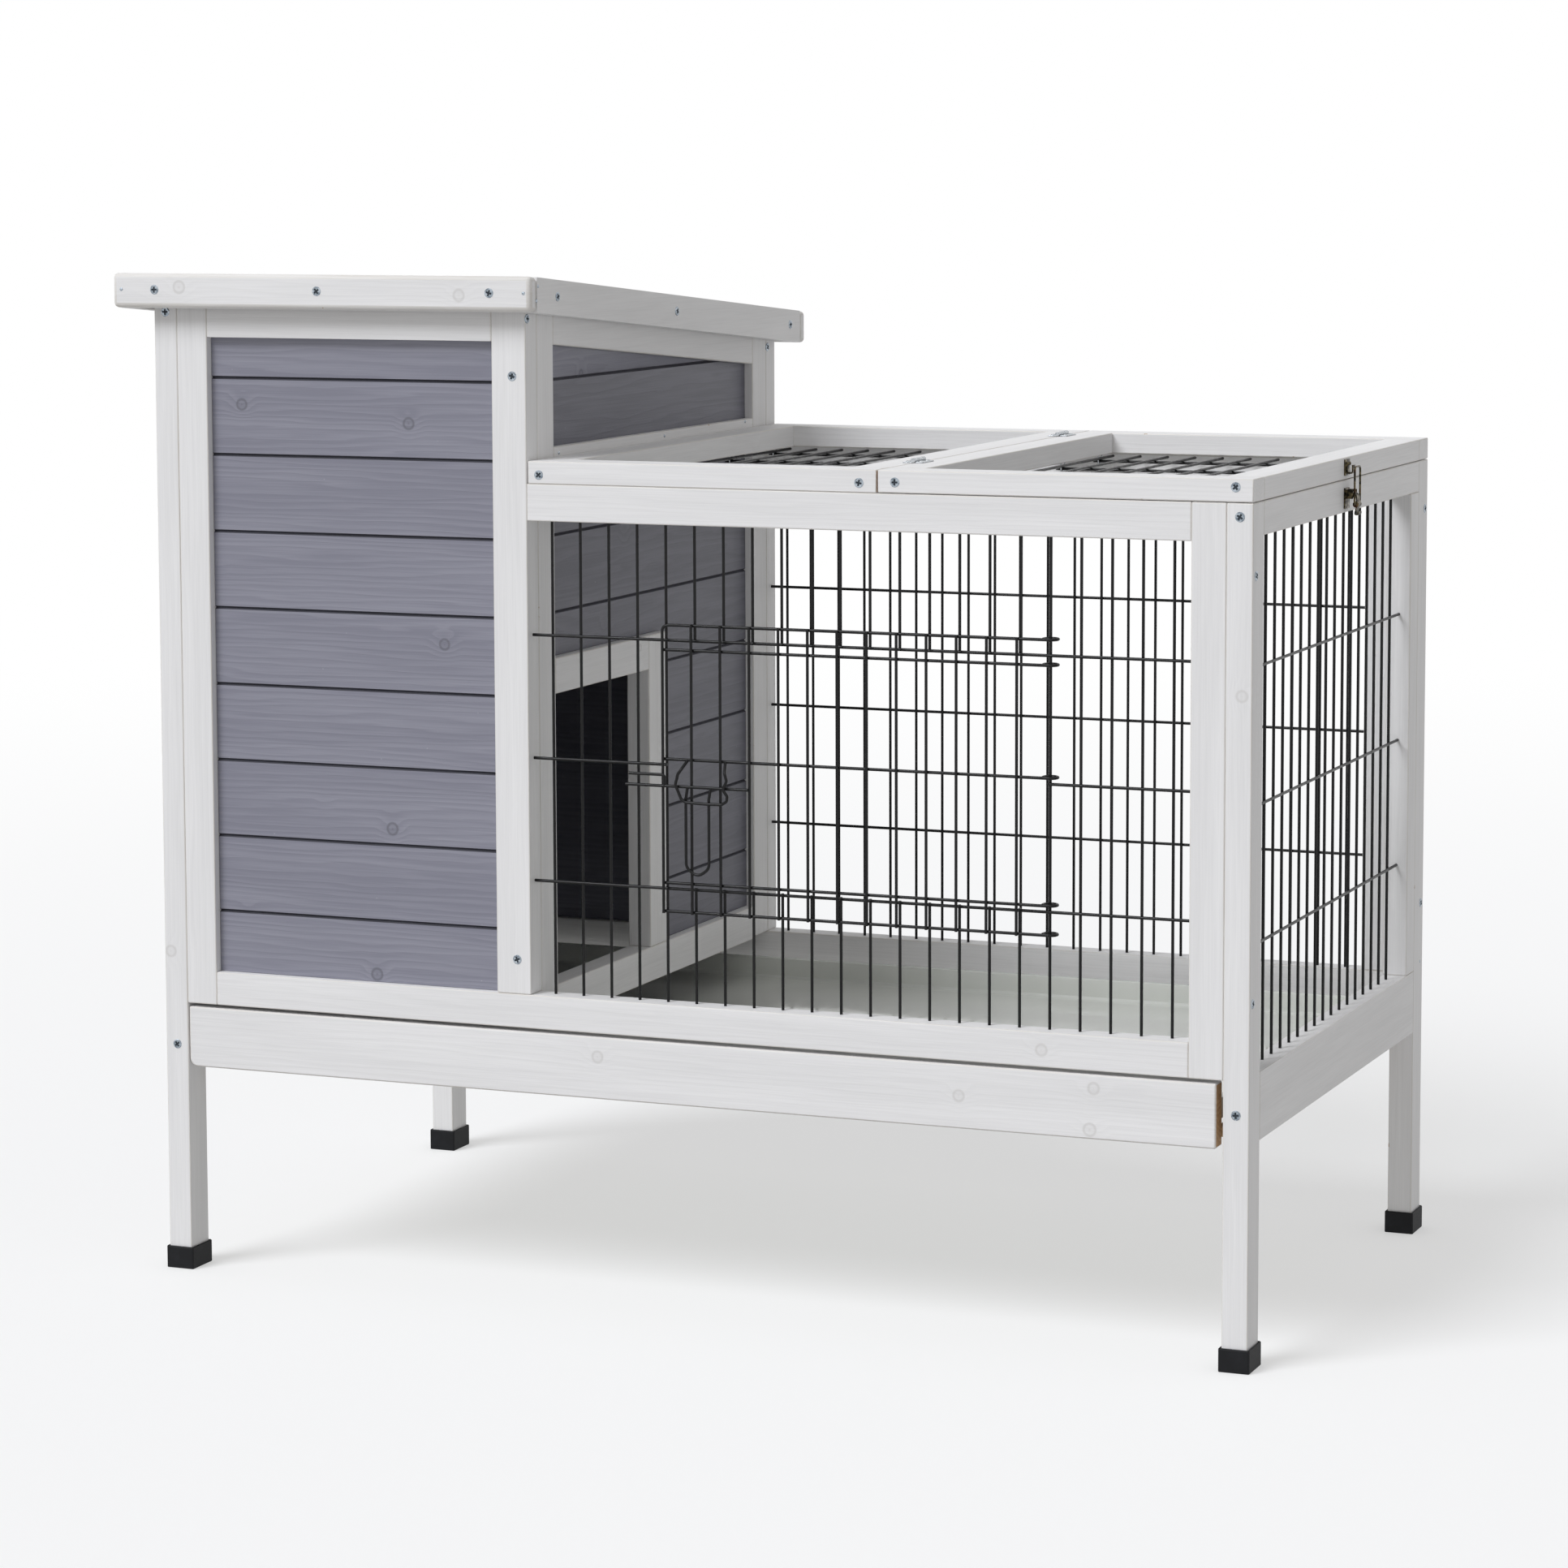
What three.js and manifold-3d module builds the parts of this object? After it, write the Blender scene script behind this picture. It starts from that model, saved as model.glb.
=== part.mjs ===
// Raised wooden rabbit hutch: a closed house on the left, a wire run on the right and one
// pull-out tray under both. Millimetres, +X to the right, +Y to the back, +Z up.
// Measured inside this file from the left face of the front left post, the front face and the
// floor; the exported group then moves the whole to the bottom centre of its bounding box.
import * as THREE from "three";
import { mergeVertices } from "three/addons/utils/BufferGeometryUtils.js";
import Module from "manifold-3d";

const wasm = await Module();
wasm.setup();

// ---- Driving dimensions -------------------------------------------------------------------

// overall
const bodyWidth = 900; // over the corner posts
const bodyDepth = 502; // front face to back face of the walls
const houseWidth = 323; // left face to the run side of the dividing wall
const houseRise = 159; // front edge of the roof above the top of the run walls

// timber sections
const postAcross = 20;
const postDeep = 28;
const wallThick = 20; // front, back and dividing walls; the side walls are as thick as the posts
const cornerStileWide = 26.5;
const middleStileWide = 29;
const dividerStileWide = 30;
const rightStileWide = 24;
const boardThick = 9;
const boardRecess = 7; // frame face to board face
const boardPlay = 0.3; // board edge to frame
const plankPitch = 60.6;
const grooveWide = 2.6;
const grooveDeep = 1.8;

// heights, from the floor up
const drawerRise = 165.5;
const drawerHigh = 48.5;
const drawerGap = 3;
const frontRailHigh = 26.5;
const runOpeningHigh = 368;
const runRailHigh = 28.5;
const sideRailHigh = 25;
const sideBoardRise = 169;
const sideBoardHigh = 51;
const backBoardHigh = 48;
const dividerRailHigh = 28.5;
const houseRailHigh = 38.5; // upright height of the rails under the roof
const firstPlankHigh = 49;

// doorway between house and run
const doorwayWide = 180;
const doorwayHigh = 229;
const headerHigh = 28;
const casingWide = 35;
const battenHigh = 28;
const battenRise = -3; // batten's lower edge from the top of the run walls

// rubber caps
const capHigh = 18;
const capFloor = 4;
const capWall = 1.7;
const capPlay = 0.3;

// tray
const trayBoardThick = 16;
const trayBoardSet = 1; // set back from the front face
const trayLeftPlay = 0.5;
const trayRightPlay = 5.5;
const panWall = 1.5;
const panHigh = 20;
const panSideGap = 6;
const panBackGap = 12;
const runnerWide = 14;
const runnerHigh = 7.5;
const runnerPlay = 0.5;

// wire mesh
const wireGauge = 2.4;
const weldDepth = 0.2; // how far crossing wires sink into each other
const wirePitch = 23.75;
const uprightSet = 1.56; // uprights behind the middle of the wall
const crossPitch = 95.5;
const crossDrop = 88.5; // highest cross wire below the top of the run opening
const plainCrossPitch = 102.8; // the back and right meshes
const plainCrossDrop = 94.5;
const topMeshSet = 1; // mesh under the top frames
const topMeshInset = 6; // mesh edge inside the walls

// wire door in the front mesh, counted in mesh wires
const doorFirstWire = 4;
const doorWiresRight = 5; // from the hinge wire to the right end of the mesh
const doorAbove = 12; // top bar above the highest cross wire
const doorBelow = 17; // bottom bar below the lowest cross wire
const doorInside = 7; // second bar below the highest cross wire
const doorInsideLow = 5;
const doorMidRise = 4.8; // middle bar above the middle cross wire
const loopInner = 4.4; // slack of the door's end loops on the hinge wire

// door bolt
const boltDrop = 20; // bolt bar below the middle bar
const boltReach = 30; // prong beyond the door's edge bar
const boltLength = 101;
const prongGap = 8.5;
const prongReach = 27;
const pullWide = 19;
const pullHigh = 69;
const pullFrom = 50; // left leg from the prong's tip
const boltPlay = 0.4;
const keeperLeft = 14; // from the door's edge bar
const keeperWide = 40;
const keeperDrop = 12; // lowest wire of the keeper below the bolt bar

// top frames
const topThick = 17.5;
const topStickWide = 28;
const fixedTopWide = 285.5;
const topGap = 1;
const lidPlay = 0.5; // lid above the run walls

// small hinges on the lid seam
const lidHingeLong = 25;
const lidHingeReach = 8;
const lidKnuckleRadius = 1.9;
const lidPinRadius = 0.8;
const frontHingeAt = 88;
const backHingeAt = 75; // from the back face
const leafThick = 1;
const knucklePlay = 0.4;
const pinFacets = 8;

// roof
const roofFront = 18;
const roofBack = 38;
const roofLeft = 26.5;
const roofRight = 13;
const roofDrop = 46;
const deckThick = 10;
const fasciaHigh = 27;
const fasciaThick = 12;
const roofPlay = 0.5;
const roofHingeLong = 220;
const roofHingeReach = 15;
const roofKnuckleRadius = 2.6;
const roofPinRadius = 1.2;

// toggle latch on the right wall
const latchWide = 14;
const latchPlate = 1.2;
const latchBaseHigh = 16;
const latchBaseDrop = 6; // below the top of the run walls
const leverPinOut = 5.5;
const leverPinDrop = 11;
const leverPinRadius = 1.1;
const leverBarrelRadius = 2.4;
const latchPlay = 0.4;
const loopGauge = 1.6;
const loopPinOut = 8.8;
const loopPinDrop = 18.5;
const loopBarrelRadius = 2.7;
const loopHigh = 29;
const leverTail = 27; // tail's end below the top of the run walls
const catchRise = 3; // catch plate above the lid's lower face
const catchHigh = 12.5;
const latchFacets = 10;
const loopEyeFacets = 12;
const squareToRound = 0.71; // half diagonal of a square wire, by its gauge
const hookOut = 6.2;
const hookWide = 9;
const hookHigh = 8.4; // hook's tip above the catch plate's lower edge

// ---- Derived places -----------------------------------------------------------------------

const frontRailLow = drawerRise + drawerHigh + drawerGap;
const frontRailTop = frontRailLow + frontRailHigh;
const openingTop = frontRailTop + runOpeningHigh;
const runTop = openingTop + runRailHigh;
const sideBoardTop = sideBoardRise + sideBoardHigh;
const backBoardTop = sideBoardRise + backBoardHigh;
const backWall = bodyDepth - wallThick;
const backPost = bodyDepth - postDeep;
const rightPost = bodyWidth - postAcross;
const rightStile = rightPost - cornerStileWide;
const leftStile = postAcross + cornerStileWide;
const middleStile = houseWidth - middleStileWide;
const dividerInner = houseWidth - wallThick;
const dividerFront = wallThick + dividerStileWide;
const dividerBack = backWall - dividerStileWide;
const rightStileFront = backPost - rightStileWide;
const doorwayBack = dividerFront + doorwayWide;
const doorwayTop = frontRailTop + doorwayHigh;
const crossHeights = [0, 1, 2].map((step) => openingTop - crossDrop - step * crossPitch);
const plainHeights = [0, 1, 2].map((step) => openingTop - plainCrossDrop - step * plainCrossPitch);
const roofTopFront = runTop + houseRise;
const roofDeep = roofFront + bodyDepth + roofBack;
const fixedTopLeft = houseWidth + topGap;
const fixedTopRight = fixedTopLeft + fixedTopWide;
const lidLeft = fixedTopRight + topGap;
const lidLow = runTop + lidPlay;
const topSurface = runTop + topThick;
const latchMiddle = bodyDepth / 2;

// the roof's upper face, its underside and the walls' tops all fall to the back alike
const roofTop = (y) => roofTopFront - (roofDrop * (y + roofFront)) / roofDeep;
const deckUnder = (y) => roofTop(y) - deckThick;
const wallTop = (y) => deckUnder(y) - roofPlay;
const boardTop = (y) => wallTop(y) - houseRailHigh;

// ---- Finishes -----------------------------------------------------------------------------

const finish = (color, roughness, metalness = 0) =>
  new THREE.MeshStandardMaterial({ color, roughness, metalness });
const whiteStain = finish(0xe4e4e6, 0.6);
const greyStain = finish(0x84828f, 0.65);
const blackWire = finish(0x17181a, 0.45, 0.6);
const rubber = finish(0x1c1e21, 0.8);
const roofFelt = finish(0x4c4f52, 0.95);
const bareWood = finish(0xcbb695, 0.7);
const trayPlastic = finish(0x9ea59d, 0.25);
const agedBrass = finish(0x4a4030, 0.4, 0.9);
const zincPlate = finish(0xb9bcc0, 0.35, 1);

// ---- Shape helpers ------------------------------------------------------------------------

// A box from the low and high value on each axis.
function block([x0, x1], [y0, y1], [z0, z1]) {
  const geometry = new THREE.BoxGeometry(1, 1, 1);
  const p = geometry.getAttribute("position");
  for (let i = 0; i < p.count; i++) {
    p.setXYZ(i, p.getX(i) < 0 ? x0 : x1, p.getY(i) < 0 ? y0 : y1, p.getZ(i) < 0 ? z0 : z1);
  }
  return geometry;
}

// An outline pushed along one axis. Its points are [y, z] along x, [x, z] along y, [x, y] along z.
function prism(axis, outline, low, high) {
  const turned = axis === "y" ? outline.map(([x, z]) => [z, x]) : outline;
  const shape = new THREE.Shape(turned.map(([a, b]) => new THREE.Vector2(a, b)));
  const geometry = new THREE.ExtrudeGeometry(shape, { depth: 1, bevelEnabled: false });
  const p = geometry.getAttribute("position");
  for (let i = 0; i < p.count; i++) {
    const a = p.getX(i);
    const b = p.getY(i);
    const c = p.getZ(i) > 0.5 ? high : low;
    if (axis === "x") p.setXYZ(i, c, a, b);
    if (axis === "y") p.setXYZ(i, b, c, a);
    if (axis === "z") p.setXYZ(i, a, b, c);
  }
  return geometry;
}

// A faceted round bar along an axis, about a centre given as the prism's own pair.
function round(axis, [a, b], radius, low, high, sides = 12) {
  const outline = Array.from({ length: sides }, (_, i) => {
    const angle = (2 * Math.PI * i) / sides;
    return [a + radius * Math.cos(angle), b + radius * Math.sin(angle)];
  });
  return prism(axis, outline, low, high);
}

function toSolid(geometry) {
  const bare = new THREE.BufferGeometry();
  bare.setAttribute("position", geometry.getAttribute("position"));
  bare.setIndex(geometry.index);
  const merged = mergeVertices(bare, 1e-4);
  const vertProperties = merged.getAttribute("position").array;
  const triVerts = new Uint32Array(merged.index.array);
  return new wasm.Manifold(new wasm.Mesh({ numProp: 3, vertProperties, triVerts }));
}

function toGeometry(solid) {
  const { vertProperties, triVerts } = solid.getMesh();
  const geometry = new THREE.BufferGeometry();
  geometry.setAttribute("position", new THREE.BufferAttribute(vertProperties, 3));
  geometry.setIndex(new THREE.BufferAttribute(triVerts, 1));
  geometry.computeVertexNormals();
  return geometry;
}

const join = (...pieces) => toGeometry(pieces.map(toSolid).reduce((a, b) => a.add(b)));
const cut = (body, ...tools) =>
  toGeometry(tools.map(toSolid).reduce((a, b) => a.subtract(b), toSolid(body)));

// A square wire along an axis through the middle of its section.
function wire(axis, [low, high], u, v, gauge = wireGauge) {
  const acrossU = [u - gauge / 2, u + gauge / 2];
  const acrossV = [v - gauge / 2, v + gauge / 2];
  if (axis === "x") return block([low, high], acrossU, acrossV);
  if (axis === "y") return block(acrossU, [low, high], acrossV);
  return block(acrossU, acrossV, [low, high]);
}

// Middle lines of as many wires as a span holds at the mesh pitch, centred in it.
function wireLines([low, high]) {
  const count = Math.floor((high - low) / wirePitch);
  const first = (low + high - (count - 1) * wirePitch) / 2;
  return Array.from({ length: count }, (_, i) => first + i * wirePitch);
}

// ---- Scene graph --------------------------------------------------------------------------

const hutch = new THREE.Group();
const lid = new THREE.Group();
const roof = new THREE.Group();
const tray = new THREE.Group();
const wireDoor = new THREE.Group();
hutch.add(lid, roof, tray, wireDoor);

function add(name, geometry, material, parent = hutch) {
  const mesh = new THREE.Mesh(geometry, material);
  mesh.name = name;
  parent.add(mesh);
  return mesh;
}

// ---- Legs ---------------------------------------------------------------------------------

// An upright whose top follows the roof.
const slopedStick = ([x0, x1], [y0, y1], low) =>
  prism("x", [[y0, low], [y1, low], [y1, wallTop(y1)], [y0, wallTop(y0)]], x0, x1);

function legs() {
  const frontSpan = [0, postDeep];
  const backSpan = [backPost, bodyDepth];
  const leftSpan = [0, postAcross];
  const rightSpan = [rightPost, bodyWidth];
  add("front_left_post", slopedStick(leftSpan, frontSpan, capFloor), whiteStain);
  add("back_left_post", slopedStick(leftSpan, backSpan, capFloor), whiteStain);
  add("front_right_post", block(rightSpan, frontSpan, [capFloor, runTop]), whiteStain);
  add("back_right_post", block(rightSpan, backSpan, [capFloor, runTop]), whiteStain);
  const corners = { front_left: [leftSpan, frontSpan], front_right: [rightSpan, frontSpan] };
  corners.back_left = [leftSpan, backSpan];
  corners.back_right = [rightSpan, backSpan];
  for (const [corner, [x, y]] of Object.entries(corners)) add(corner + "_foot_cap", cap(x, y), rubber);
}

// A rubber cup around the foot of a post.
function cap([x0, x1], [y0, y1]) {
  const out = capPlay + capWall;
  const outer = block([x0 - out, x1 + out], [y0 - out, y1 + out], [0, capHigh]);
  const pocketX = [x0 - capPlay, x1 + capPlay];
  const pocketY = [y0 - capPlay, y1 + capPlay];
  return cut(outer, block(pocketX, pocketY, [capFloor, capHigh + 1]));
}

// ---- Boarded walls ------------------------------------------------------------------------

// Section of a boarded wall: a plain back and a face with a V groove at each board's edge.
function boardSection(face, back, low, high) {
  const inward = Math.sign(back - face) * grooveDeep;
  const points = [[back, low], [face, low]];
  for (let z = frontRailTop + firstPlankHigh; z < high - grooveWide; z += plankPitch) {
    if (z < low + grooveWide) continue;
    points.push([face, z - grooveWide / 2], [face + inward, z], [face, z + grooveWide / 2]);
  }
  points.push([face, high], [back, high]);
  return points;
}

// Everything above the line under the house's top rails.
const aboveBoards = (x0, x1) => {
  const line = (y) => boardTop(y) - boardPlay;
  const high = roofTopFront;
  return prism("x", [[0, line(0)], [bodyDepth, line(bodyDepth)], [bodyDepth, high], [0, high]], x0, x1);
};

const topRail = ([x0, x1], [y0, y1]) =>
  prism("x", [[y0, boardTop(y0)], [y1, boardTop(y1)], [y1, wallTop(y1)], [y0, wallTop(y0)]], x0, x1);

function frontWall() {
  const thick = [0, wallThick];
  const runSpan = [houseWidth, rightStile];
  add("front_left_stile", slopedStick([postAcross, leftStile], thick, frontRailLow), whiteStain);
  add("front_middle_stile", slopedStick([middleStile, houseWidth], thick, frontRailTop), whiteStain);
  add("front_right_stile", block([rightStile, rightPost], thick, [frontRailLow, runTop]), whiteStain);
  const railX = [leftStile, rightStile];
  add("front_bottom_rail", block(railX, thick, [frontRailLow, frontRailTop]), whiteStain);
  add("run_front_top_rail", block(runSpan, thick, [openingTop, runTop]), whiteStain);
  const low = boardTop(0);
  const rail = [[0, low], [wallThick, low], [wallThick, wallTop(wallThick)], [0, wallTop(0)]];
  add("house_front_top_rail", prism("x", rail, leftStile, middleStile), whiteStain);
  const section = boardSection(
    boardRecess,
    boardRecess + boardThick,
    frontRailTop + boardPlay,
    low - boardPlay,
  );
  const boards = prism("x", section, leftStile + boardPlay, middleStile - boardPlay);
  add("house_front_boards", boards, greyStain);
}

function leftWall() {
  const thick = [0, postAcross];
  const spanY = [postDeep, backPost];
  add("left_bottom_board", block(thick, spanY, [sideBoardRise, sideBoardTop]), whiteStain);
  const frontInner = postDeep + rightStileWide;
  const frame = join(
    slopedStick(thick, [postDeep, frontInner], sideBoardTop),
    slopedStick(thick, [rightStileFront, backPost], sideBoardTop),
    topRail(thick, [frontInner, rightStileFront]),
  );
  add("left_frame", frame, whiteStain);
  const low = sideBoardTop + boardPlay;
  const section = boardSection(boardRecess, boardRecess + boardThick, low, roofTopFront);
  const whole = prism("y", section, frontInner + boardPlay, rightStileFront - boardPlay);
  add("house_left_boards", cut(whole, aboveBoards(-postAcross, 2 * postAcross)), greyStain);
}

function backWallPieces() {
  const thick = [backWall, bodyDepth];
  const boardX = [postAcross, rightPost];
  add("back_bottom_board", block(boardX, thick, [sideBoardRise, backBoardTop]), whiteStain);
  add("back_left_stile", slopedStick([postAcross, leftStile], thick, backBoardTop), whiteStain);
  add("back_middle_stile", slopedStick([middleStile, houseWidth], thick, backBoardTop), whiteStain);
  add("back_right_stile", block([rightStile, rightPost], thick, [backBoardTop, runTop]), whiteStain);
  add("run_back_top_rail", block([houseWidth, rightStile], thick, [openingTop, runTop]), whiteStain);
  const low = boardTop(bodyDepth);
  const rail = [
    [backWall, low],
    [bodyDepth, low],
    [bodyDepth, wallTop(bodyDepth)],
    [backWall, wallTop(backWall)],
  ];
  add("house_back_top_rail", prism("x", rail, leftStile, middleStile), whiteStain);
  const face = bodyDepth - boardRecess;
  const section = boardSection(face, face - boardThick, backBoardTop + boardPlay, low - boardPlay);
  const boards = prism("x", section, leftStile + boardPlay, middleStile - boardPlay);
  add("house_back_boards", boards, greyStain);
}

// ---- Dividing wall with its doorway -------------------------------------------------------

function divider() {
  const thick = [dividerInner, houseWidth];
  const inner = [dividerFront, dividerBack];
  const railLow = frontRailTop - dividerRailHigh;
  add("divider_front_stile", slopedStick(thick, [wallThick, dividerFront], railLow), whiteStain);
  add("divider_back_stile", slopedStick(thick, [dividerBack, backWall], backBoardTop), whiteStain);
  add("divider_bottom_rail", block(thick, inner, [railLow, frontRailTop]), whiteStain);
  add("divider_top_rail", topRail(thick, inner), whiteStain);

  const face = houseWidth - boardRecess;
  const battenLow = runTop + battenRise;
  const batten = block([face, houseWidth], inner, [battenLow, battenLow + battenHigh]);
  add("divider_middle_batten", batten, whiteStain);

  const casingBack = doorwayBack + casingWide;
  const headerTop = doorwayTop + headerHigh;
  const casing = join(
    block(thick, [dividerFront, casingBack], [doorwayTop, headerTop]),
    block(thick, [doorwayBack, casingBack], [frontRailTop, doorwayTop]),
  );
  add("doorway_frame", casing, whiteStain);

  const boardFace = face - boardPlay;
  const low = frontRailTop + boardPlay;
  const section = boardSection(boardFace, boardFace - boardThick, low, roofTopFront);
  const whole = prism("y", section, dividerFront + boardPlay, dividerBack - boardPlay);
  const hole = block([0, bodyWidth], [0, casingBack + boardPlay], [0, headerTop + boardPlay]);
  add("divider_boards", cut(whole, hole, aboveBoards(0, bodyWidth)), greyStain);
}

// ---- Right wall ---------------------------------------------------------------------------

function rightWall() {
  const thick = [rightPost, bodyWidth];
  const spanY = [postDeep, backPost];
  add("right_bottom_board", block(thick, spanY, [sideBoardRise, sideBoardTop]), whiteStain);
  add("right_top_rail", block(thick, spanY, [runTop - sideRailHigh, runTop]), whiteStain);
  const stileHigh = [sideBoardTop, runTop - sideRailHigh];
  add("right_back_stile", block(thick, [rightStileFront, backPost], stileHigh), whiteStain);
}

// ---- Wire mesh ----------------------------------------------------------------------------

// In the front mesh the uprights stand behind the cross wires, and the door hangs in front.
const crossBehind = wireGauge - weldDepth; // middle line to middle line of two welded wires
const uprightY = wallThick / 2 + uprightSet;
const crossY = uprightY - crossBehind;
const frontSpan = [houseWidth, rightStile];
const frontLines = wireLines(frontSpan);
const hingeWire = frontLines.length - doorWiresRight;
const doorLeft = frontLines[doorFirstWire];
const hingeX = frontLines[hingeWire];

function frontMesh() {
  const [high, mid, low] = crossHeights;
  const half = wireGauge / 2;
  const bars = [];
  frontLines.forEach((x, i) => {
    if (i > doorFirstWire && i < hingeWire) {
      bars.push(wire("z", [frontRailTop, low + half], x, uprightY));
      bars.push(wire("z", [high - half, openingTop], x, uprightY));
    } else {
      bars.push(wire("z", [frontRailTop, openingTop], x, uprightY));
    }
  });
  bars.push(wire("x", frontSpan, crossY, high), wire("x", frontSpan, crossY, low));
  bars.push(wire("x", [houseWidth, doorLeft + half], crossY, mid));
  bars.push(wire("x", [hingeX - half, rightStile], crossY, mid));
  add("front_wire_panel", join(...bars), blackWire);
}

function backMesh() {
  const y = bodyDepth - uprightY;
  const uprights = frontLines.map((x) => wire("z", [backBoardTop, openingTop], x, y));
  const crosses = plainHeights.map((z) => wire("x", frontSpan, y + crossBehind, z));
  add("back_wire_panel", join(...uprights, ...crosses), blackWire);
}

function rightMesh() {
  const x = bodyWidth - uprightY;
  const span = [postDeep, rightStileFront];
  const high = [sideBoardTop, runTop - sideRailHigh];
  const uprights = wireLines(span).map((y) => wire("z", high, x, y));
  const crosses = plainHeights.map((z) => wire("y", span, x + crossBehind, z));
  add("right_wire_panel", join(...uprights, ...crosses), blackWire);
}

// ---- Wire door and its bolt ---------------------------------------------------------------

// Middle line of the loops around the hinge wire, which is also the door's cross bars' line.
const loopLine = loopInner + wireGauge / 2;
const doorBarY = uprightY - loopLine;
const doorUprightY = doorBarY - crossBehind;
const doorBars = [
  crossHeights[0] + doorAbove,
  crossHeights[0] - doorInside,
  crossHeights[1] + doorMidRise,
  crossHeights[2] + doorInsideLow,
  crossHeights[2] - doorBelow,
];
const boltZ = doorBars[2] - boltDrop;
const boltY = doorUprightY - wireGauge - boltPlay;
const keeperY = boltY - wireGauge - boltPlay;

// A loop of wire around the hinge wire, flat at one height.
function hingeLoop(z) {
  const low = z - wireGauge / 2;
  const high = z + wireGauge / 2;
  const ring = round("z", [hingeX, uprightY], loopInner + wireGauge, low, high);
  return cut(ring, round("z", [hingeX, uprightY], loopInner, low - 1, high + 1));
}

function doorPieces() {
  const half = wireGauge / 2;
  const top = doorBars[0] + half;
  const bottom = doorBars[4] - half;
  const bars = doorBars.map((z) => wire("x", [doorLeft - half, hingeX - half], doorBarY, z));
  const lines = frontLines.slice(doorFirstWire, hingeWire);
  const uprights = lines.map((x) => wire("z", [bottom, top], x, doorUprightY));
  const loops = doorBars.map(hingeLoop);
  add("wire_door", join(...bars, ...uprights, ...loops, ...keeper()), blackWire, wireDoor);
}

// The guide that keeps the bolt against the door, held off the middle bar by two tabs.
function keeper() {
  const left = doorLeft + keeperLeft;
  const right = left + keeperWide;
  const half = wireGauge / 2;
  const high = boltZ + prongGap + wireGauge + boltPlay;
  const low = boltZ - keeperDrop;
  const inward = [keeperY - half, doorBarY];
  const tab = (x) => block([x - half, x + half], inward, [high - half, doorBars[2] + half]);
  return [
    tab(left),
    tab(right),
    wire("x", [left, right], keeperY, high),
    wire("x", [left, right], keeperY, low),
    wire("z", [low - half, high + half], left, keeperY),
    wire("z", [low - half, high + half], right, keeperY),
  ];
}

function doorBolt() {
  const half = wireGauge / 2;
  const tip = doorLeft - boltReach;
  const prongTip = doorLeft - prongReach;
  const bend = doorLeft + wireGauge;
  const pull = tip + pullFrom;
  const legs = [boltZ - pullHigh, boltZ];
  const bolt = join(
    wire("x", [tip, tip + boltLength], boltY, boltZ),
    wire("x", [prongTip, bend + half], boltY, boltZ + prongGap),
    wire("z", [boltZ, boltZ + prongGap + half], bend, boltY),
    wire("z", legs, pull, boltY),
    wire("z", legs, pull + pullWide, boltY),
    wire("x", [pull - half, pull + pullWide + half], boltY, boltZ - pullHigh),
  );
  add("door_bolt", bolt, blackWire, wireDoor);
}

// ---- Top frames ---------------------------------------------------------------------------

// Four sticks around a light: front and back over the full width, the sides between them.
function topFrame([x0, x1], [z0, z1]) {
  const outer = block([x0, x1], [0, bodyDepth], [z0, z1]);
  const lightX = [x0 + topStickWide, x1 - topStickWide];
  const lightY = [topStickWide, bodyDepth - topStickWide];
  return cut(outer, block(lightX, lightY, [z0 - 1, z1 + 1]));
}

// Mesh under a top frame, inside the walls.
function topMesh([x0, x1], under) {
  const spanY = [wallThick + topMeshInset, backWall - topMeshInset];
  const z = under - topMeshSet - wireGauge / 2;
  const long = wireLines([x0, x1]);
  const first = long[0] - wirePitch / 4;
  const last = long[long.length - 1] + wirePitch / 4;
  const steps = Math.floor((spanY[1] - spanY[0]) / 2 / crossPitch);
  const bars = long.map((x) => wire("y", spanY, x, z));
  for (let step = -steps; step <= steps; step++) {
    bars.push(wire("x", [first, last], bodyDepth / 2 + step * crossPitch, z - crossBehind));
  }
  return join(...bars);
}

function fixedTop() {
  const frame = topFrame([fixedTopLeft, fixedTopRight], [runTop, topSurface]);
  add("fixed_top_frame", frame, whiteStain);
  const mesh = topMesh([fixedTopLeft + topMeshInset, fixedTopRight - topMeshInset], runTop);
  add("fixed_top_wire", mesh, blackWire);
}

// ---- Leaf hinges --------------------------------------------------------------------------

// One leaf about a pin on the local Y axis. It reaches along +X and lies on a face one knuckle
// radius below the pin. The fixed leaf carries the two end knuckles and the pin.
function hingeLeaf({ long, reach, radius, pin, fixed }) {
  const third = long / 6;
  const ends = [
    [-long / 2, -third - knucklePlay / 2],
    [third + knucklePlay / 2, long / 2],
  ];
  const middle = [[-third + knucklePlay / 2, third - knucklePlay / 2]];
  const low = [-radius, -radius + leafThick];
  const pieces = [block([radius + knucklePlay, reach], [-long / 2, long / 2], low)];
  for (const [y0, y1] of fixed ? ends : middle) {
    pieces.push(block([0, radius + 2 * knucklePlay], [y0, y1], low));
    pieces.push(round("y", [0, 0], radius, y0, y1));
  }
  if (fixed) pieces.push(round("y", [0, 0], pin, -long / 2, long / 2, pinFacets));
  const leaf = join(...pieces);
  return fixed ? leaf : cut(leaf, round("y", [0, 0], pin + knucklePlay, -long, long, pinFacets));
}

// ---- Lid ----------------------------------------------------------------------------------

const lidPin = [fixedTopRight + topGap / 2, topSurface + lidKnuckleRadius];

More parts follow.
